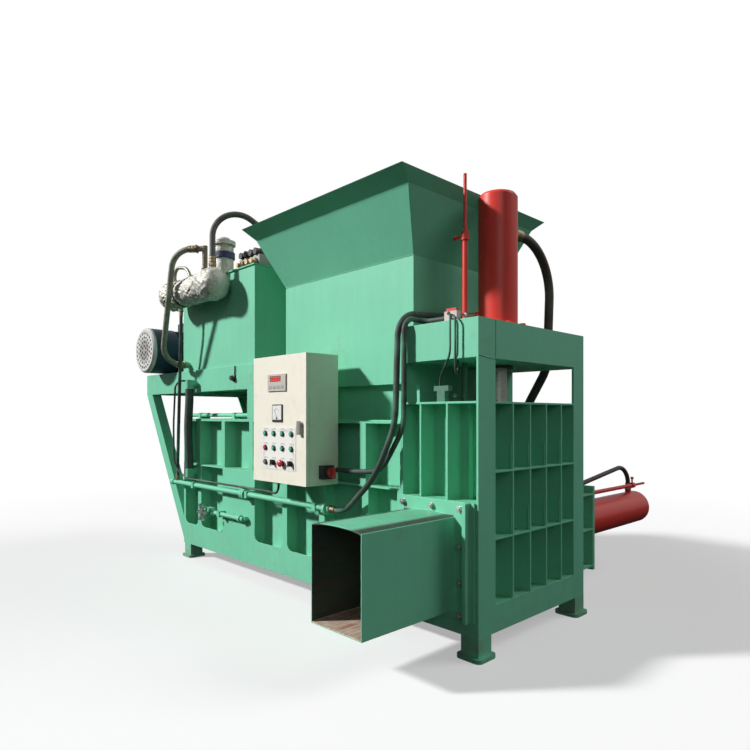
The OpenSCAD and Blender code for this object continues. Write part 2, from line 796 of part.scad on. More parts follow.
module platform_struts() {
    rise = plat_z - foot_h - 30;
    run = x_l - plat_x;
    wide = strut_w * norm([rise, run]) / rise;
    tall = wide * rise / run;
    deep = 76;
    skin = 8;
    lower = [x_l, foot_h + 30];
    upper = [plat_x, plat_z];
    thin = skin * wide / strut_w;
    color(green) place() for (rear = [0, 1]) translate([0, rear * body_d, 0]) mirror([0, rear, 0]) {
        slab_y(0, skin) polygon([lower, lower + [0, tall], upper + [wide, 0], upper]);
        for (s = [0, wide - thin]) slab_y(0, deep) polygon([lower + [0, s * rise / run],
            lower + [0, (s + thin) * rise / run], upper + [s + thin, 0], upper + [s, 0]]);
        difference() {
            box([plat_r - post_w, 0, z_top + 8], [plat_r, deep, plat_z]);
            box([plat_r - post_w + skin, skin, z_top + 7], [plat_r - skin, deep - skin, plat_z + 1]);
        }
    }
}

module oil_tank() {
    wall = 6;
    rim = 8;
    color(green) place() {
        difference() {
            box([tank_x, tank_in, deck_z], [tank_r, tank_in + tank_d, tank_z - rim]);
            box([tank_x + wall, tank_in + wall, deck_z - 1],
                [tank_r - wall, tank_in + tank_d - wall, tank_z - rim - wall]);
        }
        box([tank_x - 10, tank_in - 10, tank_z - rim], [tank_r + 4, tank_in + tank_d + 10, tank_z]);
        rod_y(tank_in - 32, tank_in, tank_x + 90, deck_z + 45, 46);
        rod_z(tank_z, tank_z + 30, tank_x + 160, tank_in + 560, 110);
        rod_z(tank_z + 30, tank_z + 95, tank_x + 160, tank_in + 560, 86);
    }
}

module return_filter() {
    x = tank_x + 370;
    y = tank_in + 138;
    color(silver) place() translate([x, y, tank_z]) {
        cylinder(d = 190, h = 16);
        cylinder(d = 140, h = 268);
        translate([0, 0, 170]) cylinder(d = 160, h = 44);
        translate([0, 0, 268]) cylinder(d = 168, h = 30);
        translate([0, 0, 298]) cylinder(d1 = 120, d2 = 80, h = 26);
        for (a = [0:60:300]) rotate([0, 0, a]) translate([80, 0, 16]) cylinder(d = 16, h = 10, $fn = 6);
    }
}

module valve_block() {
    x = tank_r - 290;
    y = tank_in + 60;
    color(steel) place() translate([x, y, tank_z]) {
        cube([250, 150, 80]);
        for (k = [0:3]) translate([10 + 60 * k, 20, 80]) {
            cube([50, 110, 46]);
            translate([25, -34, 23]) rotate([-90, 0, 0]) cylinder(d = 44, h = 54);
            translate([25, 110, 23]) rotate([-90, 0, 0]) cylinder(d = 44, h = 54);
        }
        for (k = [0:3]) translate([40 + 57 * k, 0, 34]) rotate([90, 0, 0]) {
            cylinder(d = 42 / cos(30), h = 22, $fn = 6);
            cylinder(d = 30, h = 44);
        }
    }
    color(steel) place() rod_z(tank_z, tank_z + 40, tank_r - 74, tank_in + 354, 54);
}

loop_turn = atan2(-150, -160);

module oil_cooler() {
    y = tank_in - 124;
    z = tank_z - 106;
    x0 = tank_x + 100;
    x1 = x0 + cooler_l;
    cap = [[0, 0], [cooler_d / 2 + 6, 0], [cooler_d / 2 + 6, 40], [cooler_d / 2 - 22, 76], [0, 84]];
    color(silver) place() {
        rod_x(x0, x1, y, z, cooler_d);
        for (x = [x0, x1 - 18, x0 - 18, x1]) rod_x(x, x + 18, y, z, cooler_d + 34);
        for (x = [x0 + 0.28 * cooler_l, x0 + 0.42 * cooler_l]) rod_x(x, x + 14, y, z, cooler_d + 10);
        translate([x1 + 18, y, z]) rotate([0, 90, 0]) rotate_extrude() polygon(cap);
        translate([x0 - 18, y, z]) rotate([0, -90, 0]) rotate_extrude() polygon(cap);
        for (x = [x0 + 0.26 * cooler_l, x1 - 0.33 * cooler_l]) difference() {
            box([x, y, z - 70], [x + 40, tank_in, z + 70]);
            rod_x(x - 1, x + 41, y, z, cooler_d - 4);
        }
        for (x = [x1, tank_x + 575]) rod_z(z, tank_z + 20, x, y, 50);
        rod_z(z, tank_z + 174, tank_x + 575, y, 36);
        translate([tank_x + 575, y, tank_z + 155]) rotate([0, 90, loop_turn]) cylinder(d = 38, h = 50);
        rod_z(tank_z - 226, z, tank_x + 215, y, 34);
    }
}

// motor and pump, turned about an axis along Y

motor_y = -motor_out;
motor_z = deck_z + motor_axis;
frame_y = motor_y + 190;
frame_end = frame_y + 430;
bell_end = frame_end + 160;
shaft_d = 48;
shell_d = motor_d - 60;

module motor_frame() {
    fins = 28;
    color(navy) place() difference() {
        union() {
            rod_y(frame_y, frame_end, motor_x, motor_z, shell_d);
            for (k = [0:fins - 1]) translate([motor_x, frame_y + 30, motor_z])
                rotate([0, 360 * k / fins, 0]) translate([-3, 0, 0]) cube([6, 360, motor_d / 2 - 4]);
            rod_y(frame_y, frame_y + 30, motor_x, motor_z, motor_d);
            rod_y(frame_end - 30, frame_end, motor_x, motor_z, motor_d - 8);
            for (y = [frame_y + 60, frame_end - 110]) {
                box([motor_x - 150, y, deck_z], [motor_x + 150, y + 60, deck_z + 22]);
                box([motor_x - 120, y, deck_z], [motor_x + 120, y + 60, motor_z]);
            }
            box([motor_x - 80, frame_y + 130, motor_z],
                [motor_x + 80, frame_y + 290, motor_z + motor_d / 2 + 70]);
        }
        rod_y(frame_y + 24, frame_end - 24, motor_x, motor_z, shell_d - 30);
        rod_y(frame_y - 1, frame_end + 1, motor_x, motor_z, shaft_d + 2 * fit);
    }
}

module motor_cowl() {
    skin = 4;
    color(cream) place() difference() {
        union() {
            rod_y(motor_y + 14, frame_y, motor_x, motor_z, motor_d);
            translate([motor_x, motor_y, motor_z]) rotate([-90, 0, 0])
                cylinder(d1 = motor_d - 28, d2 = motor_d, h = 14);
        }
        rod_y(motor_y + 14 + skin, frame_y + 1, motor_x, motor_z, motor_d - 2 * skin);
        for (ring = [1:4]) for (k = [0:6 * ring - 1]) translate([motor_x, motor_y - 1, motor_z])
            rotate([0, 60 * k / ring, 0]) translate([0, 0, 34 * ring]) rotate([-90, 0, 0])
                cylinder(d = 20, h = 30, $fn = 16);
    }
}

module motor_rotor() {
    color(steel) place() {
        rod_y(motor_y + 40, bell_end - 30, motor_x, motor_z, shaft_d);
        rod_y(frame_y + 70, frame_end - 70, motor_x, motor_z, shell_d - 60);
        rod_y(motor_y + 50, motor_y + 120, motor_x, motor_z, 90);
        rod_y(frame_end + 30, frame_end + 110, motor_x, motor_z, 110);
        for (k = [0:6]) translate([motor_x, motor_y + 55, motor_z]) rotate([0, 360 * k / 7, 0])
            translate([-3, 0, 0]) cube([6, 60, 150]);
    }
}

module bell_housing() {
    color(dark_green) place() difference() {
        union() {
            rod_y(frame_end, frame_end + 20, motor_x, motor_z, 300);
            rod_y(frame_end, bell_end, motor_x, motor_z, 190);
            rod_y(bell_end - 20, bell_end, motor_x, motor_z, 220);
        }
        rod_y(frame_end - 1, bell_end + 1, motor_x, motor_z, 150);
        for (s = [-1, 1]) box([motor_x + s * 95 - 50, frame_end + 60, motor_z - 35],
            [motor_x + s * 95 + 50, frame_end + 120, motor_z + 35]);
    }
}

module pump() {
    color(steel) place() difference() {
        union() {
            rod_y(bell_end, bell_end + 30, motor_x, motor_z, 200);
            rod_y(bell_end, bell_end + 180, motor_x, motor_z, 140);
            box([motor_x - 82, bell_end + 60, motor_z - 70], [motor_x + 82, bell_end + 140, motor_z + 70]);
            for (s = [-1, 1]) rod_x(motor_x + (s < 0 ? -120 : 0), motor_x + (s < 0 ? 0 : 120),
                bell_end + 100, motor_z, 56);
        }
        rod_y(bell_end - 1, bell_end + 12, motor_x, motor_z, 60);
    }
}

// control box

module box_shell() {
    color(cream) place() {
        difference() {
            box([box_x, door_y + 2, box_z], [box_r, 0, box_z + box_h]);
            box([box_x + box_t, door_y + 1, box_z + box_t], [box_r - box_t, -box_t, box_z + box_h - box_t]);
        }
        for (z = [box_z + 80, box_z + box_h - 130]) {
            rod_z(z, z + 24, hinge_x, hinge_y, 12);
            rod_z(z, z + 48, hinge_x, hinge_y, 6);
            box([hinge_x - 6, hinge_y, z], [hinge_x + 6, door_y + 30, z + 24]);
            box([hinge_x - 6, door_y + 14, z], [box_x, door_y + 30, z + 24]);
        }
        rod_z(box_z - 16, box_z, box_x + 54, -80, 36);
        rod_x(box_r, box_r + 16, -25, box_z + 79, 34);
    }
}

module box_gear() {
    back = -box_t - 12;
    color(steel) place() {
        box([box_x + 40, back, box_z + 40], [box_r - 40, back + 4, box_z + box_h - 40]);
        for (x = [box_x + 60, box_r - 60]) rod_y(back + 4, -box_t, x, box_z + box_h / 2, 14);
        for (k = [0:3]) box([box_x + 70 + 92 * k, back - 80, box_z + 0.47 * box_h],
            [box_x + 140 + 92 * k, back, box_z + 0.6 * box_h]);
        box([box_x + 70, back - 90, box_z + 0.71 * box_h], [box_x + 260, back, box_z + 0.87 * box_h]);
        box([box_x + 300, back - 70, box_z + 0.73 * box_h], [box_r - 70, back, box_z + 0.86 * box_h]);
        for (z = [box_z + 0.655 * box_h, box_z + 0.385 * box_h])
            box([box_x + 60, back - 50, z], [box_r - 60, back, z + 0.043 * box_h]);
        box([box_x + 70, back - 45, box_z + 0.16 * box_h], [box_r - 70, back, box_z + 0.23 * box_h]);
    }
}

function key_place(c, r) = [button_x + c * button_dx, button_z + (2 - r) * button_dz];

hole_d = button_d + 4;

module key_holes(a, b, d) {
    for (c = [0:3], r = [0:2]) rod_y(a, b, key_place(c, r)[0], key_place(c, r)[1], d);
}

module box_door() {
    color(cream) place() {
        difference() {
            box([box_x, box_y, box_z], [box_r, door_y, box_z + box_h]);
            box([box_x + box_t, box_y + box_t, box_z + box_t],
                [box_r - box_t, door_y + 1, box_z + box_h - box_t]);
            key_holes(box_y - 1, box_y + box_t + 1, hole_d);
            rod_y(box_y - 1, box_y + box_t + 1, lock_x, lock_z, 16 + 2 * fit);
        }
        for (z = [box_z + 80, box_z + box_h - 130]) difference() {
            union() {
                rod_z(z + 25, z + 49, hinge_x, hinge_y, 12);
                box([hinge_x, hinge_y - 4, z + 25], [box_x, hinge_y + 4, z + 49]);
            }
            rod_z(z, z + 50, hinge_x, hinge_y, 6 + 2 * fit);
        }
    }
}

module door_instruments() {
    screen_x = box_x + 155;
    screen_z = box_z + box_h - 195;
    meter_x = box_x + 196;
    meter_z = box_z + 0.48 * box_h;
    edge = 38;
    low = key_place(0, 2) - [edge, edge];
    high = key_place(3, 0) + [edge, edge];
    color(black) place() {
        box([screen_x, box_y - 8, screen_z], [screen_x + 172, box_y, screen_z + 94]);
        box([meter_x, box_y - 6, meter_z], [meter_x + 96, box_y, meter_z + 96]);
    }
    color(cream) place() difference() {
        box([low[0], panel_y, low[1]], [high[0], box_y, high[1]]);
        key_holes(panel_y - 1, box_y + 1, hole_d);
    }
}

bezel_y = panel_y - 7;

module button_bodies() {
    color(black) place() for (c = [0:3], r = [0:2])
        translate([key_place(c, r)[0], 0, key_place(c, r)[1]]) difference() {
            union() {
                rod_y(bezel_y, panel_y, 0, 0, bezel_d);
                rod_y(bezel_y, box_y + box_t + 3, 0, 0, hole_d - 2 * fit);
                box([-15, box_y + box_t, -20], [15, box_y + box_t + 44, 20]);
            }
            rod_y(bezel_y - 1, box_y + box_t + 12, 0, 0, button_d + fit);
        }
}

module push_button(c, r, paint) {
    color(paint) place() translate([key_place(c, r)[0], 0, key_place(c, r)[1]]) {
        rod_y(bezel_y - button_travel, box_y + 2, 0, 0, button_d - fit);
        translate([0, bezel_y - button_travel - 1.5, 0]) rotate([-90, 0, 0])
            cylinder(d1 = button_d - 4, d2 = button_d - fit, h = 1.5);
    }
}

module green_button_1() push_button(0, 0, "limegreen");
module green_button_2() push_button(1, 0, "limegreen");
module green_button_3() push_button(2, 0, "limegreen");
module green_button_4() push_button(3, 0, "limegreen");
module red_button() push_button(0, 1, "red");
module green_button_5() push_button(1, 1, "limegreen");
module green_button_6() push_button(2, 1, "limegreen");
module green_button_7() push_button(3, 1, "limegreen");

module key_switch() {
    color(steel) place() translate([key_place(0, 2)[0], 0, key_place(0, 2)[1]]) difference() {
        rod_y(bezel_y - 4, box_y + 4, 0, 0, button_d - fit);
        box([-1.2, bezel_y - 5, -6], [1.2, bezel_y + 2, 6]);
    }
}

module selector(c) {
    color(black) place() translate([key_place(c, 2)[0], 0, key_place(c, 2)[1]]) {
        rod_y(bezel_y - 5, box_y + 4, 0, 0, button_d - fit);
        box([-4, bezel_y - 19, -13], [4, bezel_y - 2, 16]);
    }
}

module selector_left() selector(1);
module selector_right() selector(3);

module stop_button() {
    at = key_place(2, 2);
    color("red") place() translate([at[0], bezel_y - 7, at[1]]) rotate([-90, 0, 0]) {
        cylinder(d = button_d - fit, h = 10);
        rotate_extrude() polygon([[0, -16], [10, -15], [17, -11], [20, -6], [20, -2], [17, 0], [0, 0]]);
    }
}

module door_lock() {
    color(silver) place() {
        rod_y(box_y - 10, box_y + box_t + 14, lock_x, lock_z, 16);
        rod_y(box_y - 10, box_y - 0.3, lock_x, lock_z, 28);
        box([lock_x - 9, box_y - 22, lock_z - 56], [lock_x + 9, box_y - 8, lock_z + 16]);
        box([lock_x - 8, box_y + box_t + 10, lock_z - 8],
            [box_r - box_t - 4, box_y + box_t + 14, lock_z + 8]);
    }
}

module isolator_base() {
    color(black) place() difference() {
        union() {
            box([box_r, iso_y - 38, iso_z - 36], [box_r + 36, iso_y + 38, iso_z + 36]);
            rod_x(box_r + 36, box_r + 50, iso_y, iso_z, 62);
        }
        rod_x(box_r + 20, box_r + 51, iso_y, iso_z, 24 + 2 * fit);
    }
}

module isolator_knob() {
    color("red") place() {
        rod_x(box_r + 21, box_r + 52, iso_y, iso_z, 24);
        rod_x(box_r + 52, box_r + 64, iso_y, iso_z, 52);
        box([box_r + 64, iso_y - 9, iso_z - 28], [box_r + 84, iso_y + 9, iso_z + 28]);
    }
}

// pipes, switches, hoses

drain_x = rib_x(1) - 150;
drain_z = base_top + 165;
drain_y = -32;
suction_x = x_l + 193;
suction_y = -52;

module pipework() {
    left = x_l - 112;
    right = box_r - 51;
    joint = rib_x(2) - 30;
    color(green) place() {
        rod_x(left, right, -pipe_out, pipe_z, pipe_d);
        for (x = [joint - 22, joint + 2, right - 6]) rod_x(x, x + 20, -pipe_out, pipe_z, pipe_d + 36);
        rod_x(right, right + 30, -pipe_out, pipe_z, pipe_d + 8);
        rod_x(left, left + 44, -pipe_out, pipe_z, pipe_d + 12);
        for (x = [rib_x(0) - 15, rib_x(2) - 5, rib_x(4) - 15])
            box([x, -pipe_out - pipe_d / 2 - 5, pipe_z - 22], [x + 30, 0, pipe_z + 22]);
        rod_x(drain_x, rib_x(2) - 60, drain_y, drain_z, 30);
        rod_y(drain_y, 0, rib_x(2) - 60, drain_z, 30);
        box([rib_x(1) - 15, drain_y - 20, drain_z - 20], [rib_x(1) + 15, 0, drain_z + 20]);
        for (x = [drain_x + 46, rib_x(2) - 110]) rod_x(x, x + 22, drain_y, drain_z, 46);
        box([drain_x - 34, drain_y - 26, drain_z - 28], [drain_x + 34, drain_y + 26, drain_z + 28]);
        rod_y(drain_y - 44, drain_y, drain_x, drain_z, 30);
        rod_y(drain_y - 62, drain_y, drain_x, drain_z, 16);
        for (y = [104, 150]) {
            rod_x(x_l - 90, chute_x - 60, y, z_top + 34, 28);
            for (x = [x_l + 60, x_l + 560, chute_x - 200])
                box([x, y - 18, z_top + 8], [x + 36, y + 18, z_top + 52]);
        }
        rod_y(guide_y, guide_y + 55, mouth_l + 78, mouth_z - 20, 44);
        box([x_t + rib_t, body_d - 20, z_top - 111], [-front_rib_b, body_d, z_top - 51]);
        rod_y(body_d, body_d + 54, x_t + 66, z_top - 81, 44);
        rod_z(z_top - 109, z_top - 36, x_t + 66, body_d + 54, 56);
        rod_y(suction_y, 0, suction_x, plat_z + 60, 56);
        rod_z(plat_z + 21, plat_z + 88, suction_x, suction_y, 56);
        rod_y(suction_y, rib_d, suction_x, z_mid - 51, 50);
        rod_z(z_mid - 84, z_mid - 23, suction_x, suction_y, 56);
    }
}

module drain_handle() {
    arms = 6;
    reach = 54;
    hub = drain_y - 44;
    color(steel) place() translate([drain_x, 0, drain_z]) difference() {
        union() {
            rod_y(hub - 26, hub - 0.3, 0, 0, 34);
            slab_y(hub - 22, hub - 8) for (k = [0:arms - 1]) rotate(360 * k / arms) {
                translate([0, -6]) square([reach, 12]);
                translate([reach, 0]) circle(12);
            }
        }
        rod_y(hub - 19, hub + 1, 0, 0, 16 + 2 * fit);
    }
}

module limit_switch() {
    cube([74, 30, 60]);
    translate([8, 4, 60]) cube([58, 22, 14]);
    translate([56, 30, 40]) rotate([-90, 0, 0]) cylinder(d = 14, h = 14);
    translate([56, 38, 34]) cube([36, 5, 12]);
    translate([92, 34, 40]) rotate([-90, 0, 0]) cylinder(d = 20, h = 10);
}

module window_switch() {
    translate([14, 0, 0]) cube([46, 30, 50]);
    translate([-6, 1, 50]) cube([86, 28, 24]);
    translate([50, 30, 30]) rotate([-90, 0, 0]) cylinder(d = 14, h = 14);
    translate([50, 38, 24]) cube([36, 5, 12]);
    translate([86, 34, 30]) rotate([-90, 0, 0]) cylinder(d = 20, h = 10);
}

module limit_switches() {
    color(steel) place() {
        translate([press_x - 38, 20, shelf_z]) window_switch();
        translate([press_x - 34, 85, tower_h]) limit_switch();
    }
}

// each run of hose or cable: its corners, then the bend at each corner

cooler_out = [tank_x + 100 + cooler_l, tank_in - 124, tank_z];
valve_in = [tank_r - 74, tank_in + 354, tank_z];
route_arch = route([cooler_out + [0, 0, 20], cooler_out + [0, 0, 531], valve_in + [0, 0, 148],
    valve_in + [0, 0, 40]], [162, 162]);

cooler_in = [tank_x + 575, tank_in - 124, tank_z + 155];
tank_in_port = [tank_x + 90, tank_in - 32, deck_z + 45];
route_loop = route([cooler_in + 50 * [cos(loop_turn), sin(loop_turn), 0], cooler_in - [160, 150, 0],
    tank_in_port - [0, 180, 0], tank_in_port], [160, 160]);

drain_top = [tank_x + 215, tank_in - 124, tank_z - 226];
drop_end = [x_l - 22, -pipe_out, pipe_z + pipe_d / 2];
route_drop = route([drain_top, drain_top - [0, 0, 100], drop_end + [0, 0, 123], drop_end], [600, 500]);

suction_top = [suction_x, suction_y, plat_z + 21];
suction_end = [suction_x, suction_y, z_mid - 23];
route_suction = route([suction_top, suction_top - [0, 0, 82], (suction_top + suction_end) / 2 - [10, 6, 0],
    suction_end + [0, 0, 80], suction_end], [1200, 1200, 1200]);

press_up = [press_x, y_mid + port_l + 7, press_top - 166];
press_end = [x_t + 66, body_d + 54, z_top - 36];
route_press = route([press_up, [press_x, press_end[1], press_up[2]],
    [press_x - 24, press_end[1], head_z + 19], press_end + [0, 0, 104], press_end], [300, 250, 250]);

eject_a = [mouth_l + 78, guide_y + 55, mouth_z - 20];
eject_b = [mouth_x, eject_y - 120, eject_z + eject_od / 2 + 20];
route_eject = route([eject_a, eject_a + [0, 145, 0], eject_b + [0, 0, 182], eject_b], [400, 122]);

ram_a = [box_r - 21, -pipe_out, pipe_z];
ram_b = [press_x, y_mid, tower_h + 80] - port_l * [cos(45), sin(45), 0];
tower_x = x_t + 18;
route_ram = route([ram_a, ram_a + [125, 0, 0], [x_t - 92, -88, z_mid + 67], [tower_x, -62, z_top - 16],
    [tower_x, -40, tower_h + 64], [tower_x, ram_b[1] - ram_b[0] + tower_x, ram_b[2]], ram_b],
    [230, 380, 380, 126, 280]);

sleeve_a = [box_r + 16, -25, box_z + 79];
sleeve_b = [press_x - 34, 100, tower_h + 30];
route_tower = route([sleeve_a, sleeve_a + [158, 0, 0], [x_t - 102, -38, z_mid + 87],
    [x_t + 50, -36, z_top - 26], [x_t + 50, -34, tower_h + 46], [x_t + 50, 100, tower_h + 30], sleeve_b],
    [400, 150, 220, 66, 58]);

sensor_a = [x_l + 58, 0, plat_z + 89];
sensor_b = [box_x + 54, -80, box_z - 16];
sensor_z = pipe_z + 44;
route_sensor = route([sensor_a, sensor_a - [0, 96, 0], [x_l + 13, -90, z_top - 36],
    [x_l + 18, -88, z_mid - 13], [x_l + 150, -60, sensor_z], [sensor_b[0] - 180, -50, sensor_z],
    [sensor_b[0], -80, sensor_z], sensor_b], [62, 600, 150, 220, 300, 60]);

wire_a = [press_x + 21, 85, tower_h + 38];
wire_b = [press_x - 18, 35, shelf_z + 74];
route_wire = route([wire_a, wire_a - [0, 45, 0], [press_x + 91, -26, tower_h + 34],
    [press_x + 91, -26, head_z + 19], wire_b + [0, 0, 41], wire_b], [60, 44, 60, 56]);

lead_a = [press_x + 31, 85, tower_h + 18];
lead_b = [press_x + 72, 54, head_z];
route_lead = route([lead_a, lead_a - [0, 45, 0], [press_x + 121, -28, tower_h + 18],
    [press_x + 121, -28, head_z - 66], lead_b - [0, 0, 66], lead_b], [60, 40, 40, 40]);

module hydraulic_hoses() {
    color(rubber) place() {
        sweep(route_arch, hose_d);
        sweep(route_loop, hose_d);
        sweep(route_drop, hose_thin);
        sweep(route_suction, hose_d + 20);
        sweep(route_press, hose_d + 10);
        sweep(route_eject, hose_thin + 6);
        sweep(route_ram, hose_thin + 6);
    }
}

module cable_runs() {
    color(black) place() {
        sweep(route_tower, hose_thin + 2);
        sweep(route_sensor, 14);
        sweep(route_wire, 9);
        sweep(route_lead, 9);
    }
}

side_frame_front();
side_frame_rear();
feet();
chamber_floor();
chamber_end_plate();
chamber_cover();
hopper_chute();
hopper_flare();
platform_deck();
platform_struts();
tower_front();
tower_end();
tower_rear();
tower_head();
eject_guide();
main_barrel();
main_rod();
main_ram();
press_barrel();
press_rod();
press_platen();
eject_barrel();
eject_rod();
eject_plate();
oil_tank();
return_filter();
valve_block();
oil_cooler();
motor_frame();
motor_cowl();
motor_rotor();
bell_housing();
pump();
box_shell();
box_gear();
box_door();
door_instruments();
button_bodies();
door_lock();
green_button_1();
green_button_2();
green_button_3();
green_button_4();
red_button();
green_button_5();
green_button_6();
green_button_7();
key_switch();
selector_left();
stop_button();
selector_right();
isolator_base();
isolator_knob();
spout();
spout_bolts();
pipework();
drain_handle();
limit_switches();
hydraulic_hoses();
cable_runs();
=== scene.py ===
"""Looks of a stationary silage bagging baler.

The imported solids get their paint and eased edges. The hoses, foil, welds, bolts and the dressed
control door are pieces of their own. Lengths are metres in the row frame, and millimetres where
they go through row().
"""
import math

import bmesh
import bpy
import numpy as np
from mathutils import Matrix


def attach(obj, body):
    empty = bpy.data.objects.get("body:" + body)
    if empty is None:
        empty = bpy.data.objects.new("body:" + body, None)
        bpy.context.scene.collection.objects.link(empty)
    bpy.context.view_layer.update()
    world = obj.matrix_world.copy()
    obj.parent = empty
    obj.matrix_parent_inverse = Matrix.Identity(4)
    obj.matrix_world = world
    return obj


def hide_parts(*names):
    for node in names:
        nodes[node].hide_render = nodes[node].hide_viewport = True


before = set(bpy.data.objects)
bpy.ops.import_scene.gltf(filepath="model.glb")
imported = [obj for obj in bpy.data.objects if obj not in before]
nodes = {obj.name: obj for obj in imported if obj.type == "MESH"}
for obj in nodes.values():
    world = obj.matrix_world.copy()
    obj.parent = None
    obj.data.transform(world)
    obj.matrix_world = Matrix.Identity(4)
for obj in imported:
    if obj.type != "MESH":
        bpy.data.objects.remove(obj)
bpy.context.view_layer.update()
scene = bpy.context.scene

TURN = 2 * math.pi
MM = 1000
MACHINE_ZERO = [1710, -855, 0]
HEAD_SIDES = 24
HOSE_SIDES = 20
MERGE_DISTANCE = 1e-6
SHARP_ANGLE = math.radians(38)


def row(points):
    """Millimetres from the machine's right end, front and floor as metres in the row frame."""
    return (np.asarray(points, float) + MACHINE_ZERO) / MM


def unit(v):
    """Vectors along the last axis scaled to length one."""
    v = np.asarray(v, float)
    return v / np.linalg.norm(v, axis=-1, keepdims=True)


# surfaces

def grid_faces(rings, sides, wrap=True):
    """Quads of a grid of rings with so many points each, closed round each ring if wrap is set."""
    across = np.arange(sides if wrap else sides - 1)
    i, k = np.meshgrid(np.arange(rings - 1), across, indexing="ij")
    n = (k + 1) % sides
    corners = [i * sides + k, i * sides + n, (i + 1) * sides + n, (i + 1) * sides + k]
    return np.stack(corners, -1).reshape(-1, 4)


def frames(path):
    """Unit tangent t, normal n and binormal t x n at each point of a path.

    Each normal is the last one less its part along the new tangent.
    """
    t = unit(np.gradient(path, axis=0))
    guess = np.eye(3)[np.argmin(np.abs(t[0]))]
    normals = []
    for tangent in t:
        guess = guess - (guess @ tangent) * tangent
        guess = guess / np.linalg.norm(guess)
        normals.append(guess)
    n = np.array(normals)
    return t, n, np.cross(t, n)


def tube(path, radius, sides=HOSE_SIDES):
    """c(s) + r(s) (n(s) cos a + b(s) sin a) along a path c, closed at both ends of the path."""
    path = np.asarray(path, float)
    _, n, b = frames(path)
    a = np.linspace(0, TURN, sides, endpoint=False)
    r = np.broadcast_to(radius, len(path))
    r = np.concatenate([[0], r, [0]])[:, None, None]
    take = np.concatenate([[0], np.arange(len(path)), [len(path) - 1]])
    ring = n[take, None] * np.cos(a)[None, :, None] + b[take, None] * np.sin(a)[None, :, None]
    return (path[take, None] + r * ring).reshape(-1, 3), grid_faces(len(take), sides)


def spokes(axis, count):
    """Angles a of a full turn, and the unit directions u cos a + v sin a square to an axis."""
    axis = unit(axis)
    u = unit(np.cross(axis, np.eye(3)[np.argmin(np.abs(axis))]))
    v = np.cross(axis, u)
    a = np.linspace(0, TURN, count, endpoint=False)
    return a, np.cos(a)[:, None] * u + np.sin(a)[:, None] * v


def turned(profile, base, axis, sides=28):
    """A profile of (s, r) turned about an axis: base + s axis + r (u cos a + v sin a)."""
    profile = np.asarray(profile, float)
    _, ring = spokes(axis, sides)
    points = np.asarray(base) + profile[:, None, :1] * unit(axis) + profile[:, None, 1:] * ring
    return points.reshape(-1, 3), grid_faces(len(profile), sides)


def hexagon(across, low, high, base, axis):
    """A six sided head, chamfered on top: radius (across / 2) / cos(a mod 60 - 30) at angle a."""
    a, ring = spokes(axis, HEAD_SIDES)
    flat = across / 2 / np.cos(np.mod(a, TURN / 6) - TURN / 12)
    top = np.minimum(flat, across * 0.52) * 0.94
    edge = 0.12 * (high - low)
    stack = [(low, 0 * flat), (low, flat), (high - edge, flat), (high, top), (high, 0 * flat)]
    points = [np.asarray(base) + s * unit(axis) + r[:, None] * ring for s, r in stack]
    return np.concatenate(points), grid_faces(len(stack), HEAD_SIDES)


def bolt(base, axis, across):
    """A washer, a hexagon head and the screw's end, all sized as shares of the head's width."""
    washer = np.array([(0, 0), (0, 0.62), (0.10, 0.62), (0.12, 0.58), (0.12, 0)])
    screw = np.array([(0.60, 0), (0.60, 0.30), (0.82, 0.30), (0.86, 0.26), (0.86, 0)])
    head = hexagon(across, 0.12 * across, 0.62 * across, base, axis)
    return gather([turned(across * washer, base, axis), head, turned(across * screw, base, axis)])


def bead(a, b, r):
    """A weld bead from a to b: a tube of radius r (0.8 + 0.25 |sin|), one ripple every 1.4 r.

    Its path wanders sideways by up to 0.12 r, the product of two slow sines.
    """
    a, b = np.asarray(a, float), np.asarray(b, float)
    length = np.linalg.norm(b - a)
    s = np.linspace(0, 1, max(6, int(length / (0.45 * r))))
    waves = np.abs(np.sin(math.pi * s * length / (1.4 * r)))
    wander = 0.12 * r * np.sin(s * length / (3.1 * r)) * np.sin(s * length / (7.7 * r))
    sideways = unit(np.cross(b - a, [0.3, 0.5, 0.8]))
    path = a + s[:, None] * (b - a) + wander[:, None] * sideways
    return tube(path, r * (0.8 + 0.25 * waves), 8)


def slab(low, high, edge):
    """A block from low to high, its outline smaller by an edge at both ends of its short side."""
    low, high = np.asarray(low, float), np.asarray(high, float)
    k = int(np.argmin(high - low))
    i, j = [q for q in range(3) if q != k]
    middle, half, thick = (low + high) / 2, (high - low) / 2, high[k] - low[k]
    corners = np.array([(-1, -1), (1, -1), (1, 1), (-1, 1)])
    steps = [(0, None), (0, edge), (edge, 0), (thick - edge, 0), (thick, edge), (thick, None)]
    rings = []
    for depth, inset in steps:
        out = np.zeros(3) if inset is None else half - inset
        ring = np.empty((4, 3))
        ring[:, k] = low[k] + depth
        ring[:, i] = middle[i] + corners[:, 0] * out[i]
        ring[:, j] = middle[j] + corners[:, 1] * out[j]
        rings.append(ring)
    return np.concatenate(rings), grid_faces(len(rings), len(corners))


def gather(parts):
    """Several sets of points and faces as one."""
    points, faces, count = [], [], 0
    for p, f in parts:
        points.append(p)
        faces.append(f + count)
        count += len(p)
    return np.concatenate(points), np.concatenate(faces)


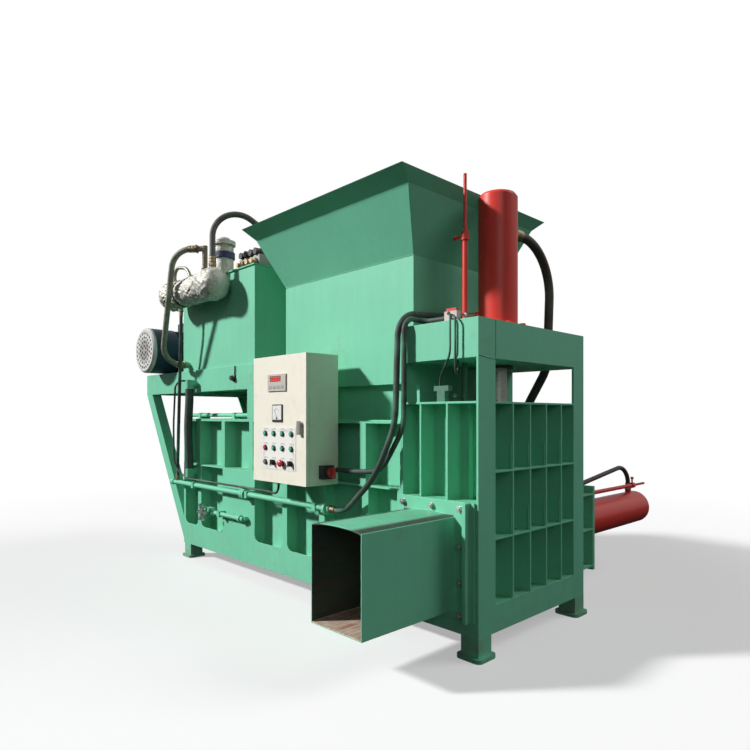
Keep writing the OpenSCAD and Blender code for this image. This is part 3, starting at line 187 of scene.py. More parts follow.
def piece(name, surface, body, finish, smooth=True, uv=None):
    """An object at the origin from points and faces, its doubles merged and its faces outwards."""
    points, faces = surface
    mesh = bpy.data.meshes.new(name)
    mesh.from_pydata(points.tolist(), [], faces.tolist())
    if uv is not None:
        layer = mesh.uv_layers.new(name="along")
        layer.data.foreach_set("uv", uv[faces].astype(np.float32).ravel())
    mesh.polygons.foreach_set("use_smooth", np.full(len(faces), smooth))
    mesh.materials.append(finish)
    obj = bpy.data.objects.new(name, mesh)
    scene.collection.objects.link(obj)
    work = bmesh.new()
    work.from_mesh(mesh)
    bmesh.ops.remove_doubles(work, verts=work.verts, dist=MERGE_DISTANCE)
    bmesh.ops.dissolve_degenerate(work, dist=MERGE_DISTANCE / 10, edges=work.edges)
    bmesh.ops.recalc_face_normals(work, faces=work.faces)
    work.to_mesh(mesh)
    work.free()
    if smooth:
        mesh.set_sharp_from_angle(angle=SHARP_ANGLE)
    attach(obj, body)
    return obj


# finishes

class Wire:
    """A shader socket that adds, subtracts and multiplies like a number."""

    def __init__(self, tree, socket=None):
        self.tree, self.socket = tree, socket

    def node(self, kind, settings=None, links=None, out=0):
        """A new node of a kind: its settings are set, then its sockets get values or wires."""
        made = self.tree.nodes.new(kind)
        for key, value in (settings or {}).items():
            setattr(made, key, value)
        for key, value in (links or {}).items():
            if isinstance(value, Wire):
                self.tree.links.new(value.socket, made.inputs[key])
            else:
                made.inputs[key].default_value = value
        return Wire(self.tree, made.outputs[out])

    def math(self, operation, a, b=0.0, clamp=False):
        """A Math node on two values."""
        settings = {"operation": operation, "use_clamp": clamp}
        return self.node("ShaderNodeMath", settings, {0: a, 1: b})

    def __add__(self, other): return self.math("ADD", self, other)
    def __radd__(self, other): return self.math("ADD", other, self)
    def __sub__(self, other): return self.math("SUBTRACT", self, other)
    def __rsub__(self, other): return self.math("SUBTRACT", other, self)
    def __mul__(self, other): return self.math("MULTIPLY", self, other)
    def __rmul__(self, other): return self.math("MULTIPLY", other, self)

    def above(self, edge, soft=0.0001):
        """Nought below an edge and one above it, with a soft step between."""
        return self.node("ShaderNodeMapRange", {"interpolation_type": "SMOOTHSTEP"},
                         {"Value": self, "From Min": edge - soft, "From Max": edge + soft})

    def noise(self, scale, detail=3.0, rough=0.55):
        """Cloudy noise at this place."""
        return self.node("ShaderNodeTexNoise", {}, {"Vector": self, "Scale": scale,
                                                   "Detail": detail, "Roughness": rough})

    def stretch(self, x, y, z):
        """This place scaled along each axis."""
        return self.node("ShaderNodeMapping", {}, {"Vector": self, "Scale": (x, y, z)})

    def part(self, k):
        """One of the three numbers of a place or direction."""
        return self.node("ShaderNodeSeparateXYZ", {}, {"Vector": self}, k)

    def blend(self, a, b):
        """Colour a where this is nought and colour b where it is one."""
        a, b = [c if isinstance(c, Wire) else (*c, 1) for c in (a, b)]
        return self.node("ShaderNodeMix", {"data_type": "RGBA"}, {0: self, 6: a, 7: b}, 2)

    def grey(self):
        """This number as a grey colour."""
        return self.node("ShaderNodeCombineColor", {}, {k: self for k in range(3)})

    def bump(self, strength, distance):
        """A normal bent by this height."""
        return self.node("ShaderNodeBump", {}, {"Strength": strength, "Distance": distance,
                                               "Height": self})


def blank_tree(block):
    """The node tree of a material or world, emptied."""
    block.use_nodes = True
    block.node_tree.nodes.clear()
    return block.node_tree


def show(shader, output):
    """The shader led to its tree's output."""
    tree = shader.tree
    tree.links.new(shader.socket, tree.nodes.new(output).inputs["Surface"])


def material(name, paint):
    """A material whose paint function turns the place on the object into the shader's inputs."""
    made = bpy.data.materials.new(name)
    start = Wire(blank_tree(made))
    place = start.node("ShaderNodeTexCoord", out="Object")
    show(start.node("ShaderNodeBsdfPrincipled", {}, paint(place)), "ShaderNodeOutputMaterial")
    return made


def scaled(colour, share):
    """A colour made darker by a share."""
    return tuple(share * c for c in colour)


DUST = (0.22, 0.20, 0.15)
OLD_STAIN = (0.20, 0.15, 0.10)
BARE_CHIP = (0.10, 0.08, 0.065)
SPLASH_HEIGHT = 0.22


def coat(base, gloss=0.48, dust=0.35, worn=0.0, shine=0.05):
    """Brushed paint: tone drift, streaks, dust on ledges and near the floor, stains, chips."""
    def paint(place):
        drift = place.noise(2.3, 4, 0.6)
        streak = place.stretch(9, 9, 0.9).noise(3.0, 3)
        tone = 0.82 + 0.24 * drift + 0.12 * streak
        colour = place.node("ShaderNodeMix", {"data_type": "RGBA", "blend_type": "MULTIPLY"},
                            {0: 1.0, 6: (*base, 1), 7: tone.grey()}, 2)
        ledge = place.node("ShaderNodeNewGeometry", out="Normal").part(2).above(0.75, 0.2)
        low = 1 - place.part(2).above(SPLASH_HEIGHT, SPLASH_HEIGHT)
        grime = place.noise(11.0, 6, 0.65).above(0.52, 0.16)
        dirty = place.math("MULTIPLY", ledge * 0.45 + low * 0.6 + worn, grime * dust, True)
        colour = dirty.blend(colour, DUST)
        stain = place.noise(3.1, 5, 0.7).above(0.67, 0.06) * 0.22
        colour = stain.blend(colour, OLD_STAIN)
        chip = place.noise(46.0, 5, 0.7).above(0.70, 0.02) * worn
        colour = chip.blend(colour, BARE_CHIP)
        peel = place.noise(240.0, 2) * 0.5 + place.noise(34.0, 2)
        return {"Base Color": colour, "Roughness": gloss + 0.16 * drift + 0.35 * dirty,
                "Normal": peel.bump(0.12, 0.002), "Coat Weight": shine - 0.8 * shine * dirty,
                "Coat Roughness": 0.22, "Specular IOR Level": 0.35}
    return paint


SPOUT_MIDDLE_X, SPOUT_HALF = 1.432, 0.1515
SPOUT_FLOOR_Z, SPOUT_FLOOR_TOP, SPOUT_ROOF_Z, SPOUT_BACK_Y = 0.2085, 0.2125, 0.624, -0.852


def spout_coat(base):
    """Paint outside the spout, its floor scraped bare and rusty, its inner walls painted near-black
    green as painted shade, with brown scrape marks.
    """
    outside = coat(base)

    def paint(place):
        inputs = outside(place)
        x, y, z = [place.part(k) for k in range(3)]
        between = 1 - place.math("ABSOLUTE", x - SPOUT_MIDDLE_X).above(SPOUT_HALF, 0.001)
        inside = between * z.above(SPOUT_FLOOR_Z, 0.0012) * (1 - z.above(SPOUT_ROOF_Z, 0.002)) \
            * (1 - y.above(SPOUT_BACK_Y, 0.002))
        floor = inside * (1 - z.above(SPOUT_FLOOR_TOP, 0.0012))
        scrape = place.stretch(30, 1.2, 30).noise(5.0, 5, 0.6)
        rust = place.noise(16.0, 6, 0.65)
        steel = rust.above(0.5, 0.18).blend((0.66, 0.52, 0.42), (0.36, 0.19, 0.11))
        steel = scrape.above(0.56, 0.1).blend(steel, (0.72, 0.62, 0.53))
        # Painted shade: near-black green on the walls inside the spout, with brown scrape marks.
        shaded_wall = scrape.above(0.55, 0.12).blend((0.028, 0.06, 0.046), (0.075, 0.055, 0.04))
        inputs["Base Color"] = floor.blend(inside.blend(inputs["Base Color"], shaded_wall), steel)
        inputs["Roughness"] = inputs["Roughness"] * (1 - inside) + inside * (0.42 + 0.25 * rust)
        inputs["Metallic"] = floor * scrape.above(0.5, 0.2) * 0.3
        return inputs
    return paint


def two_coats(low, high, axis, edge, soft=0.004):
    """One finish below a place on an axis and another above it."""
    def paint(place):
        a, b = low(place), high(place)
        share = place.part(axis).above(edge, soft)
        a["Base Color"] = share.blend(a["Base Color"], b["Base Color"])
        a["Roughness"] = a["Roughness"] * (1 - share) + b["Roughness"] * share
        return a
    return paint


def metal(base, rough, drift=0.2, scale=30.0, metallic=1.0, streak=(1, 1, 1)):
    """Bare or plated metal with cloudy roughness and fine lines."""
    def paint(place):
        cloud = place.stretch(*streak).noise(scale, 5, 0.6)
        return {"Base Color": cloud.blend(scaled(base, 0.6), base), "Metallic": metallic,
                "Roughness": rough + drift * cloud,
                "Normal": place.noise(scale * 5, 2).bump(0.08, 0.001)}
    return paint


def foil(place):
    """Crumpled weathered foil: facets from cell noise, sharp folds, brown stains."""
    cell = place.node("ShaderNodeTexVoronoi", {"feature": "DISTANCE_TO_EDGE"},
                      {"Vector": place, "Scale": 30.0})
    fold = place.noise(22.0, 6, 0.7)
    height = cell * 0.7 + fold
    tone = place.noise(9.0, 4).above(0.5, 0.2)
    stain = place.noise(14.0, 5, 0.7).above(0.60, 0.10)
    colour = tone.blend((0.46, 0.45, 0.39), (0.62, 0.61, 0.55))
    return {"Base Color": (stain * 0.55).blend(colour, (0.17, 0.14, 0.09)),
            "Metallic": 0.25 - 0.2 * stain, "Roughness": 0.42 + 0.25 * fold,
            "Normal": height.bump(0.55, 0.012)}


def foil_and_risers(place):
    """Foil on the cooler, and dull brown steel on the risers that stand above it."""
    foil_top = 2.066
    inputs = foil(place)
    riser = place.part(2).above(foil_top, 0.004)
    inputs["Base Color"] = riser.blend(inputs["Base Color"], (0.20, 0.175, 0.125))
    return inputs


def clamped_foil(place):
    """The filter's foil with a dark blue clamp round it at mid height."""
    clamp_low, clamp_high = 2.226, 2.274
    inputs = foil(place)
    z = place.part(2)
    band = z.above(clamp_low, 0.001) * (1 - z.above(clamp_high, 0.001))
    inputs["Base Color"] = band.blend(inputs["Base Color"], (0.020, 0.035, 0.11))
    inputs["Metallic"] = inputs["Metallic"] * (1 - band)
    return inputs


NAVY = (0.022, 0.035, 0.075)


def cowl(place):
    """The fan cowl: navy side, pale pressed front ring, dusty grille in the middle."""
    shaft_x, shaft_z, grille_radius, front_y = -1.43, 1.585, 0.088, -0.975
    side, front = coat(NAVY, 0.45, 0.5)(place), coat((0.62, 0.62, 0.61), 0.42, 0.3)(place)
    x, z = place.part(0) - shaft_x, place.part(2) - shaft_z
    out = place.math("SQRT", x * x + z * z)
    ring = out.above(grille_radius, 0.02).blend((0.33, 0.305, 0.28), front["Base Color"])
    side["Base Color"] = place.part(1).above(front_y, 0.004).blend(ring, side["Base Color"])
    return side


def valves(place):
    """A dull iron block with brass plugs in front and black coils on top."""
    block_front, block_top = -0.7835, 2.1385
    inputs = metal((0.30, 0.30, 0.29), 0.42, 0.25, 18.0, 0.8)(place)
    plug = 1 - place.part(1).above(block_front, 0.0006)
    coil = place.part(2).above(block_top, 0.0006)
    colour = plug.blend(inputs["Base Color"], (0.46, 0.33, 0.19))
    inputs["Base Color"] = coil.blend(colour, (0.035, 0.037, 0.040))
    inputs["Metallic"] = 0.8 * (1 - coil)
    return inputs


def switches(place):
    """The window's switch under green overspray, darkened to a third of the paint's brightness as
    painted shade; the upper one pale, with a red lid.
    """
    between_switches, lid_low = 1.35, 1.5555
    inputs = moulded((0.58, 0.47, 0.43), 0.45)(place)
    z = place.part(2)
    colour = z.above(lid_low, 0.0006).blend(inputs["Base Color"], (0.50, 0.03, 0.025))
    mist = place.noise(30.0, 4).above(0.62, 0.1)
    # Painted shade: the overspray is the green paint at a third of its brightness.
    shaded_spray = mist.blend((0.055, 0.19, 0.125), (0.10, 0.11, 0.10))
    inputs["Base Color"] = z.above(between_switches, 0.01).blend(shaded_spray, colour)
    return inputs


def worn_rod(place):
    """A ground rod left dull: grey with drawn lines, grease and rust specks."""
    line = place.stretch(30, 30, 2).noise(6.0, 4)
    speck = place.noise(60.0, 5, 0.7).above(0.62, 0.05)
    grey = line.blend((0.30, 0.31, 0.28), (0.46, 0.47, 0.44))
    return {"Base Color": speck.blend(grey, (0.15, 0.085, 0.05)), "Metallic": 0.55 - 0.5 * speck,
            "Roughness": 0.32 + 0.3 * speck + 0.1 * line,
            "Normal": place.noise(200.0, 2).bump(0.08, 0.001)}


def rubber(base, spray):
    """A rubber hose: cloth pattern wound round it, scuffs and a breath of green overspray."""
    scuffed = tuple(min(1, 1.9 * c + 0.01) for c in base)

    def paint(place):
        uv = place.node("ShaderNodeTexCoord", out="UV")
        wound = uv.node("ShaderNodeTexWave", {"wave_type": "BANDS", "bands_direction": "DIAGONAL"},
                        {"Vector": uv, "Scale": 60.0, "Distortion": 0.6, "Detail": 1.0})
        scuff = place.noise(13.0, 5, 0.6)
        mist = place.noise(4.0, 3).above(0.60, 0.14) * spray
        colour = scuff.above(0.55, 0.2).blend(base, scuffed)
        return {"Base Color": mist.blend(colour, (0.10, 0.26, 0.18)),
                "Roughness": 0.55 + 0.2 * scuff,
                "Normal": (wound * 0.6 + scuff).bump(0.2, 0.0015)}
    return paint


def moulded(base, rough=0.42):
    """Moulded plastic with a fine grain and a slight change of tone."""
    def paint(place):
        grain = place.noise(420.0, 2)
        tone = place.noise(24.0, 2)
        return {"Base Color": tone.blend(scaled(base, 0.85), base),
                "Roughness": rough + 0.08 * tone, "Normal": grain.bump(0.08, 0.0006)}
    return paint


def powder(base):
    """Powder coat: a fine even texture, a little yellowing and finger marks."""
    def paint(place):
        tone = place.noise(5.0, 3)
        touch = place.noise(18.0, 4).above(0.62, 0.12)
        colour = tone.blend(scaled(base, 0.93), base)
        return {"Base Color": (touch * 0.18).blend(colour, (0.55, 0.52, 0.44)),
                "Roughness": 0.44 + 0.1 * tone, "Normal": place.noise(520.0, 2).bump(0.1, 0.0006)}
    return paint


def door_set(place):
    """Three mouldings told apart by height: white button sheet, black meter frame, pale display."""
    sheet_top, meter_top = 1.02, 1.17
    z = place.part(2)
    grain = place.noise(420.0, 2)
    colour = z.above(sheet_top).blend((0.80, 0.79, 0.74), (0.022, 0.022, 0.024))
    colour = z.above(meter_top).blend(colour, (0.50, 0.47, 0.42))
    return {"Base Color": colour, "Roughness": 0.4 + 0.1 * grain,
            "Normal": grain.bump(0.08, 0.0006)}


def glow(base, strength):
    """Lit bars of one even colour."""
    def paint(_):
        return {"Base Color": (*base, 1), "Emission Color": (*base, 1),
                "Emission Strength": strength, "Roughness": 0.3}
    return paint


GREEN = (0.158, 0.540, 0.345)
RED = (0.74, 0.050, 0.036)
# The green paint at about a third of its brightness: painted shade for parts inside the machine.
SHADE_GREEN = (0.05, 0.17, 0.11)
HEAD_PLATE_Z, GUIDE_END_Y = 1.40, 0.345
red_coat = coat(RED, 0.30, 0.2, 0.0, 0.2)
# Painted shade and real wear: the darkened green with heavy dust and chips.
shade_and_wear_coat = coat(SHADE_GREEN, 0.45, 0.7, 0.5)
gland_coat = coat((0.07, 0.05, 0.042))
green = material("sea_green_paint", coat(GREEN))
green_worn = material("worn_green_paint", coat(GREEN, 0.5, 0.6, 0.35))
green_shade_and_wear = material("green_painted_shade_and_wear", shade_and_wear_coat)
green_spout = material("spout_paint", spout_coat(GREEN))
red = material("cylinder_red_paint", red_coat)
red_press = material("press_cylinder_paint", two_coats(gland_coat, red_coat, 2, HEAD_PLATE_Z))
# Below the head plate and behind the guide's end the red turns to the darkened green: painted
# shade.
red_trip = material("press_trip_paint", two_coats(shade_and_wear_coat, red_coat, 2, HEAD_PLATE_Z))
red_guide = material("eject_trip_paint", two_coats(shade_and_wear_coat, red_coat, 1, GUIDE_END_Y))
cream = material("cream_powder_coat", powder((0.84, 0.80, 0.68)))
navy = material("motor_navy_paint", coat(NAVY, 0.45, 0.5))
fan_cowl = material("cowl_paint", cowl)
chrome = material("chromed_rod", metal((0.74, 0.74, 0.76), 0.1, 0.12, 40.0, streak=(1, 1, 12)))
dull_rod = material("dull_rod", worn_rod)
khaki = material("khaki_steel", metal((0.36, 0.36, 0.28), 0.40, 0.2, 24.0, 0.6))
zinc = material("zinc_plate", metal((0.56, 0.56, 0.54), 0.3, 0.2))
cast = material("machined_iron", metal((0.36, 0.37, 0.38), 0.36, 0.25, 18.0))
brass = material("dull_brass_fitting", metal((0.33, 0.27, 0.17), 0.42, 0.25))
valve_iron = material("valve_iron", valves)
switch_shell = material("switch_shell", switches)
weld = material("painted_weld", coat(scaled(GREEN, 0.92), 0.3, 0.5))
wrap = material("silver_foil", foil)
filter_wrap = material("filter_foil", clamped_foil)
cooler_wrap = material("cooler_foil", foil_and_risers)
hose = material("hose_grey_rubber", rubber((0.085, 0.082, 0.074), 0.25))
hose_cloth = material("hose_cloth_cover", rubber((0.19, 0.19, 0.15), 0.25))
hose_mist = material("hose_green_mist", rubber((0.026, 0.042, 0.034), 1.0))
hose_brown = material("hose_brown_rubber", rubber((0.042, 0.027, 0.025), 0.2))
sleeve = material("cable_sleeve", rubber((0.024, 0.034, 0.030), 0.9))
black = material("black_moulding", moulded((0.028, 0.028, 0.030)))
white = material("white_sheet", moulded((0.80, 0.80, 0.77), 0.35))
lens_green = material("green_lens", moulded((0.12, 0.50, 0.34), 0.2))
lens_red = material("red_lens", moulded((0.62, 0.055, 0.050), 0.2))
gear = material("grey_moulding", moulded((0.36, 0.38, 0.39), 0.5))
door_sets = material("door_mouldings", door_set)
lamp = material("red_digits", glow((1.0, 0.05, 0.03), 1.6))
paper = material("label_paper", moulded((0.62, 0.63, 0.62), 0.6))
seal = material("door_seal", moulded((0.04, 0.04, 0.042), 0.7))

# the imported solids, with their edges eased

FINISH = {
    green: ["side_frame_front", "side_frame_rear", "chamber_end_plate", "chamber_cover",
            "hopper_chute", "hopper_flare", "platform_deck", "platform_struts", "tower_front",
            "tower_end", "tower_rear", "tower_head", "oil_tank", "pipework"],
    green_worn: ["feet", "eject_guide", "bell_housing"],
    # The chamber's floor and ram get the darkened green: painted shade, with dust and chips.
    green_shade_and_wear: ["chamber_floor", "main_ram"],
    green_spout: ["spout"],
    red: ["main_barrel", "eject_barrel"],
    red_press: ["press_barrel"],
    red_trip: ["press_platen"],
    red_guide: ["eject_plate"],
    cream: ["box_shell", "box_door"],
    navy: ["motor_frame"],
    fan_cowl: ["motor_cowl"],
    chrome: ["main_rod", "eject_rod"],
    dull_rod: ["press_rod"],
    zinc: ["spout_bolts", "drain_handle", "door_lock", "key_switch"],
    switch_shell: ["limit_switches"],
    cast: ["motor_rotor", "pump"],
    valve_iron: ["valve_block"],
    cooler_wrap: ["oil_cooler"],
    filter_wrap: ["return_filter"],
    door_sets: ["door_instruments"],
    black: ["button_bodies", "selector_left", "selector_right", "isolator_base"],
    gear: ["box_gear"],
    lens_green: ["green_button_%d" % k for k in range(1, 8)],
    lens_red: ["red_button", "stop_button", "isolator_knob"],
    hose: ["hydraulic_hoses"],
    sleeve: ["cable_runs"],
}
EASE_WIDTH = 0.0016
EASE_ANGLE = math.radians(40)
WELD_DISTANCE = 1e-5


def ease(obj):
    """Loose triangles joined, edges rounded, and shading weighted by the larger faces."""
    joined = obj.modifiers.new("join", "WELD")
    joined.merge_threshold = WELD_DISTANCE
    eased = obj.modifiers.new("ease", "BEVEL")
    eased.width = EASE_WIDTH
    eased.segments = 2
    eased.limit_method = "ANGLE"
    eased.angle_limit = EASE_ANGLE
    level = obj.modifiers.new("level", "WEIGHTED_NORMAL")
    level.keep_sharp = True


for finish, names in FINISH.items():
    for name in names:
        nodes[name].data.materials.clear()
        nodes[name].data.materials.append(finish)
        ease(nodes[name])

# camera at the photograph's place, level, with the lens raised

CAMERA_PLACE = (3.244, -2.943, 1.066)
CAMERA_HEADING = math.atan2(0.7218, 0.6921)
camera = bpy.data.objects.new("camera", bpy.data.cameras.new("camera"))
scene.collection.objects.link(camera)
camera.location = CAMERA_PLACE
camera.rotation_euler = (math.radians(90), 0, CAMERA_HEADING)
camera.data.sensor_width = 36
camera.data.lens = 28.46
camera.data.shift_y = 0.0543
camera.data.clip_end = 200
scene.camera = camera

# hoses and cables: width, finish, stiffness, corners from fitting to fitting and the bend at each

COOLER_Y, COOLER_Z = -112, 1952
PIPE_Y, PIPE_Z = -40, 560
ELBOW = math.atan2(-150, -160)
ROUTES = {
    "hose_arch": (40, hose, "stiff", [
        [-2110, COOLER_Y, 2078], [-2110, COOLER_Y, 2589], [-1858, 366, 2206], [-1858, 366, 2098]],
        [162, 162]),
    "hose_loop": (40, hose_cloth, "stiff", [
        [-2215 + 50 * math.cos(ELBOW), COOLER_Y + 50 * math.sin(ELBOW), 2213], [-2375, -262, 2213],
        [-2700, -200, 1450], [-2700, -20, 1450]], [160, 160]),
    "hose_drop": (24, hose_mist, "stiff", [
        [-2575, COOLER_Y, 1832], [-2575, COOLER_Y, 1732], [-2780, PIPE_Y, 700],
        [-2780, PIPE_Y, 577]], [600, 500]),
    "hose_suction": (60, hose_mist, "stiff", [
        [-2565, -52, 1262], [-2565, -52, 1180], [-2575, -58, 971], [-2565, -52, 760],
        [-2565, -52, 680]], [1200, 1200, 1200]),
    "hose_press": (50, hose_brown, "stiff", [
        [-226, 600, 2030], [-226, 1000, 2030], [-250, 1000, 1340], [-392, 1000, 1104],
        [-392, 1000, 1000]], [300, 250, 250]),
    "hose_eject": (30, hose_brown, "stiff", [
        [-350, 1255, 590], [-350, 1400, 590], [-278, 2160, 722], [-278, 2160, 540]], [400, 122]),
    "hose_ram": (30, hose_mist, "stiff", [
        [-955, PIPE_Y, PIPE_Z], [-830, PIPE_Y, PIPE_Z], [-550, -88, 770], [-440, -62, 1020],
        [-440, -40, 1560], [-440, 259, 1576], [-310.85, 388.15, 1576]], [230, 380, 380, 126, 280]),
    "cable_tower": (26, sleeve, "limp", [
        [-918, -25, 775], [-760, -25, 775], [-560, -38, 790], [-408, -36, 1010], [-408, -34, 1542],
        [-408, 100, 1526], [-260, 100, 1526]], [400, 150, 220, 66, 58]),
    "cable_sensor": (14, sleeve, "medium", [
        [-2700, 0, 1330], [-2700, -96, 1330], [-2745, -90, 1000], [-2740, -88, 690],
        [-2608, -60, 604], [-1560, -50, 604], [-1380, -80, 604], [-1380, -80, 680]],
        [62, 600, 150, 220, 300, 60]),
    "cable_switch": (9, sleeve, "medium", [
        [-205, 85, 1534], [-205, 40, 1534], [-135, -26, 1530], [-135, -26, 1340],
        [-244, 35, 1245], [-244, 35, 1204]], [60, 44, 60, 56]),
    "cable_lead": (9, sleeve, "medium", [
        [-195, 85, 1514], [-195, 40, 1514], [-105, -28, 1514], [-105, -28, 1255],
        [-154, 54, 1255], [-154, 54, 1321]], [60, 40, 40, 40]),
}
ARC_STEP = 0.06
RUN_STEP = 0.025


def arc(a, b, c, r):
    """The corner b between a and c rounded about a middle m.

    m + r (sin((1 - t) w) x + sin(t w) y) / sin w, where w is the turn and x, y point from m to the
    arc's two ends.
    """
    u, v = unit(a - b), unit(c - b)
    half = math.acos(u @ v) / 2
    turn = math.pi - 2 * half
    middle = b + unit(u + v) * r / math.sin(half)
    x, y = [unit(b + q * r / math.tan(half) - middle) for q in (u, v)]
    t = np.linspace(0, 1, max(6, int(turn / ARC_STEP)))[:, None]
    return middle + r / math.sin(turn) * (np.sin((1 - t) * turn) * x + np.sin(t * turn) * y)


def route(corners, bends):
    """Straight runs cut into even steps, joined by the rounded corners."""
    corners, bends = row(corners), np.asarray(bends) / MM
    turns = [arc(*corners[k:k + 3], r) for k, r in enumerate(bends)]
    stops = [corners[:1]] + turns + [corners[-1:]]
    line = [stops[0]]
    for old, new in zip(stops, stops[1:]):
        run = np.linalg.norm(new[0] - old[-1])
        cuts = np.linspace(0, 1, max(2, int(run / RUN_STEP)))[1:-1, None]
        line += [old[-1] + cuts * (new[0] - old[-1]), new]
    return np.concatenate(line)


def cord(name, wide, finish, stiffness, corners, bends):
    """A round hose or cable along its route, its texture laid along its length."""
    line = route(corners, bends)
    reach = np.concatenate([[0], np.cumsum(np.linalg.norm(np.diff(line, axis=0), axis=1))])
    surface = tube(line, wide / 2 / MM)
    along = np.concatenate([[0], reach, [reach[-1]]])
    around = np.arange(HOSE_SIDES) / HOSE_SIDES * wide / MM * math.pi
    uv = np.stack(np.broadcast_arrays(along[:, None], around[None]), -1).reshape(-1, 2)
    slot, solid = ("hose_rubber", "hydraulic_hoses") if name.startswith("hose") \
        else ("cable_sleeve", "cable_runs")
    made = piece(name, surface, "frame", finish, uv=uv)
    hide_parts(solid)
    wide / MM
    return line


lines = {name: cord(name, *facts) for name, facts in ROUTES.items()}


def ferrule(name, end):
    """A pressed collar with grooves, and the hexagon nut behind it, on one end of a hose."""
    line, wide = lines[name], ROUTES[name][0] / MM
    at, away = (line[0], line[3] - line[0]) if end == 0 else (line[-1], line[-4] - line[-1])
    r = wide / 2
    s = np.linspace(0, 1, 25)
    groove = 1.22 - 0.07 * (np.sin(s * 5 * math.pi) > 0.4)
    pressed = [(wide * (0.3 + 1.3 * q), r * g) for q, g in zip(s, groove)]
    collar = turned([(0.3 * wide, r)] + pressed + [(1.62 * wide, r * 1.01)], at, away)
    return gather([collar, hexagon(1.28 * wide, 0.0005, 0.34 * wide, at, away)])


FITTED = ("hose_arch", "hose_loop", "hose_drop", "hose_press", "hose_eject", "hose_ram")
collars = [ferrule(name, end) for name in FITTED for end in (0, 1)]
piece("hose_collars", gather(collars), "frame", brass)

# foil wrapped round the cooler, a black band round it as painted shade of a gap, and the small
# bridge pipe on top

FOIL_LENGTH = 0.796
FOIL_WAIST = 0.0955
FOIL_BULGES = [(0.125, 0.045, 0.013), (0.862, 0.055, 0.015), (0.95, 0.05, 0.008),
               (0.348, 0.018, -0.006)]
FOIL_RINGS, FOIL_SIDES, FOIL_SEED, FOIL_DEPTH = 180, 72, 3, 0.036
FOLD_COUNT = 26


def waist(s):
    """Radius along the foil: a slim waist plus h exp(-((s - m) / w)^2) at each bulge or dip."""
    return FOIL_WAIST + sum(h * np.exp(-((s - m) / w) ** 2) for m, w, h in FOIL_BULGES)


def crumpled(start):
    """A closed sleeve along X: (waist + folds) (1 - |2 s - 1|^14)^0.5, which rounds its ends.

    The folds are the mean of many |sin(k a + c s + d)| of turning and sliding phase.
    """
    dice = np.random.default_rng(FOIL_SEED)
    s = np.linspace(0, 1, FOIL_RINGS)[:, None]
    a = np.linspace(0, TURN, FOIL_SIDES, endpoint=False)[None]
    folds = 0
    for _ in range(FOLD_COUNT):
        turns, slides = dice.integers(1, 13), dice.uniform(-60, 60)
        folds = folds + np.abs(np.sin(turns * a + slides * s + dice.uniform(0, TURN))) / FOLD_COUNT
    folds = folds - folds.mean()
    rounded = np.sqrt(np.clip(1 - np.abs(2 * s - 1) ** 14, 0, 1))
    radius = (waist(s) + FOIL_DEPTH * folds) * rounded
    x = start[0] + FOIL_LENGTH * s + 0 * a
    points = np.stack([x, start[1] + radius * np.cos(a), start[2] + radius * np.sin(a)], -1)
    return points.reshape(-1, 3), grid_faces(FOIL_RINGS, FOIL_SIDES)


foil_start, shade_band_start = row([[-2798, COOLER_Y, COOLER_Z], [-2532, COOLER_Y, COOLER_Z]])
piece("cooler_foil", crumpled(foil_start), "frame", wrap)
# Painted shade: a black ring round the foil where a gap lies in shade.
SHADE_BAND = [(0, 0.088), (0, 0.0965), (0.002, 0.0975), (0.020, 0.0975), (0.022, 0.0965),
         (0.022, 0.088), (0, 0.088)]
piece("cooler_shade_band", turned(SHADE_BAND, shade_band_start, (1, 0, 0), 48), "frame", seal)
BRIDGE_COLLAR = [(0, 0), (0, 0.019), (0.022, 0.019), (0.026, 0.015), (0.026, 0)]
bridge = [tube(route([[-2676, COOLER_Y, 2040], [-2676, COOLER_Y, 2166], [-2480, COOLER_Y, 2128],
                      [-2410, COOLER_Y, 2030]], [62, 140]), 0.0125)]
for x, z in ((-2676, 2046), (-2418, 2040)):
    bridge.append(turned(BRIDGE_COLLAR, row([x, COOLER_Y, z]), (0, 0, 1)))
piece("cooler_bridge", gather(bridge), "frame", khaki)

# weld beads where plates meet: start, end and radius

SPOUT_LEFT, SPOUT_RIGHT = -434, -122
END_RIBS = (127, 264, 411, 558, 705, 846)
TOWER_RIBS = (-448, -330, -170)
BODY_RIBS = (-2508, -2150, -1792, -1434, -1076, -718)
seams = [([x, -12, 205], [x, -12, 614], 0.0035) for x in (SPOUT_LEFT, SPOUT_RIGHT)]
seams += [([SPOUT_LEFT, -12, 204], [SPOUT_RIGHT, -12, 204], 0.0035)]
seams += [([-3, y - 10.5, z], [-3, y - 10.5, z + 120], 0.0025)
          for y in END_RIBS for z in (520, 820)]
seams += [([x, 90, 696], [x, 90, 1120], 0.003) for x in TOWER_RIBS]
seams += [([x + 5, 90, 710], [x + 5, 90, 1024], 0.003) for x in BODY_RIBS]
seams += [([-1548, 90, 1868], [-460, 90, 1868], 0.003), ([-460, 90, 1240], [-460, 90, 1866], 0.003)]
seams += [([0.5, 128, 1322], [0.5, 128, 1494], 0.0022), ([0.5, 4, 1330], [0.5, 126, 1318], 0.0022)]
welds = [bead(row(a), row(b), r) for a, b, r in seams]
piece("weld_beads", gather(welds), "frame", weld)

# bolts of the motor's feet and the front pipe's flanges

MOTOR_BOLT, PIPE_BOLT, PIPE_BOLT_CIRCLE = 0.024, 0.012, 26
fixings = [bolt(row([x, y, 1427]), (0, 0, 1), MOTOR_BOLT)
           for x in (-3270, -3010) for y in (130, 390)]
for a in np.arange(4) * TURN / 4 + TURN / 8:
    y, z = PIPE_Y + PIPE_BOLT_CIRCLE * math.cos(a), PIPE_Z + PIPE_BOLT_CIRCLE * math.sin(a)
    fixings += [bolt(row([x, y, z]), (-1, 0, 0), PIPE_BOLT) for x in (-1844, -1000)]
piece("frame_bolts", gather(fixings), "frame", zinc)

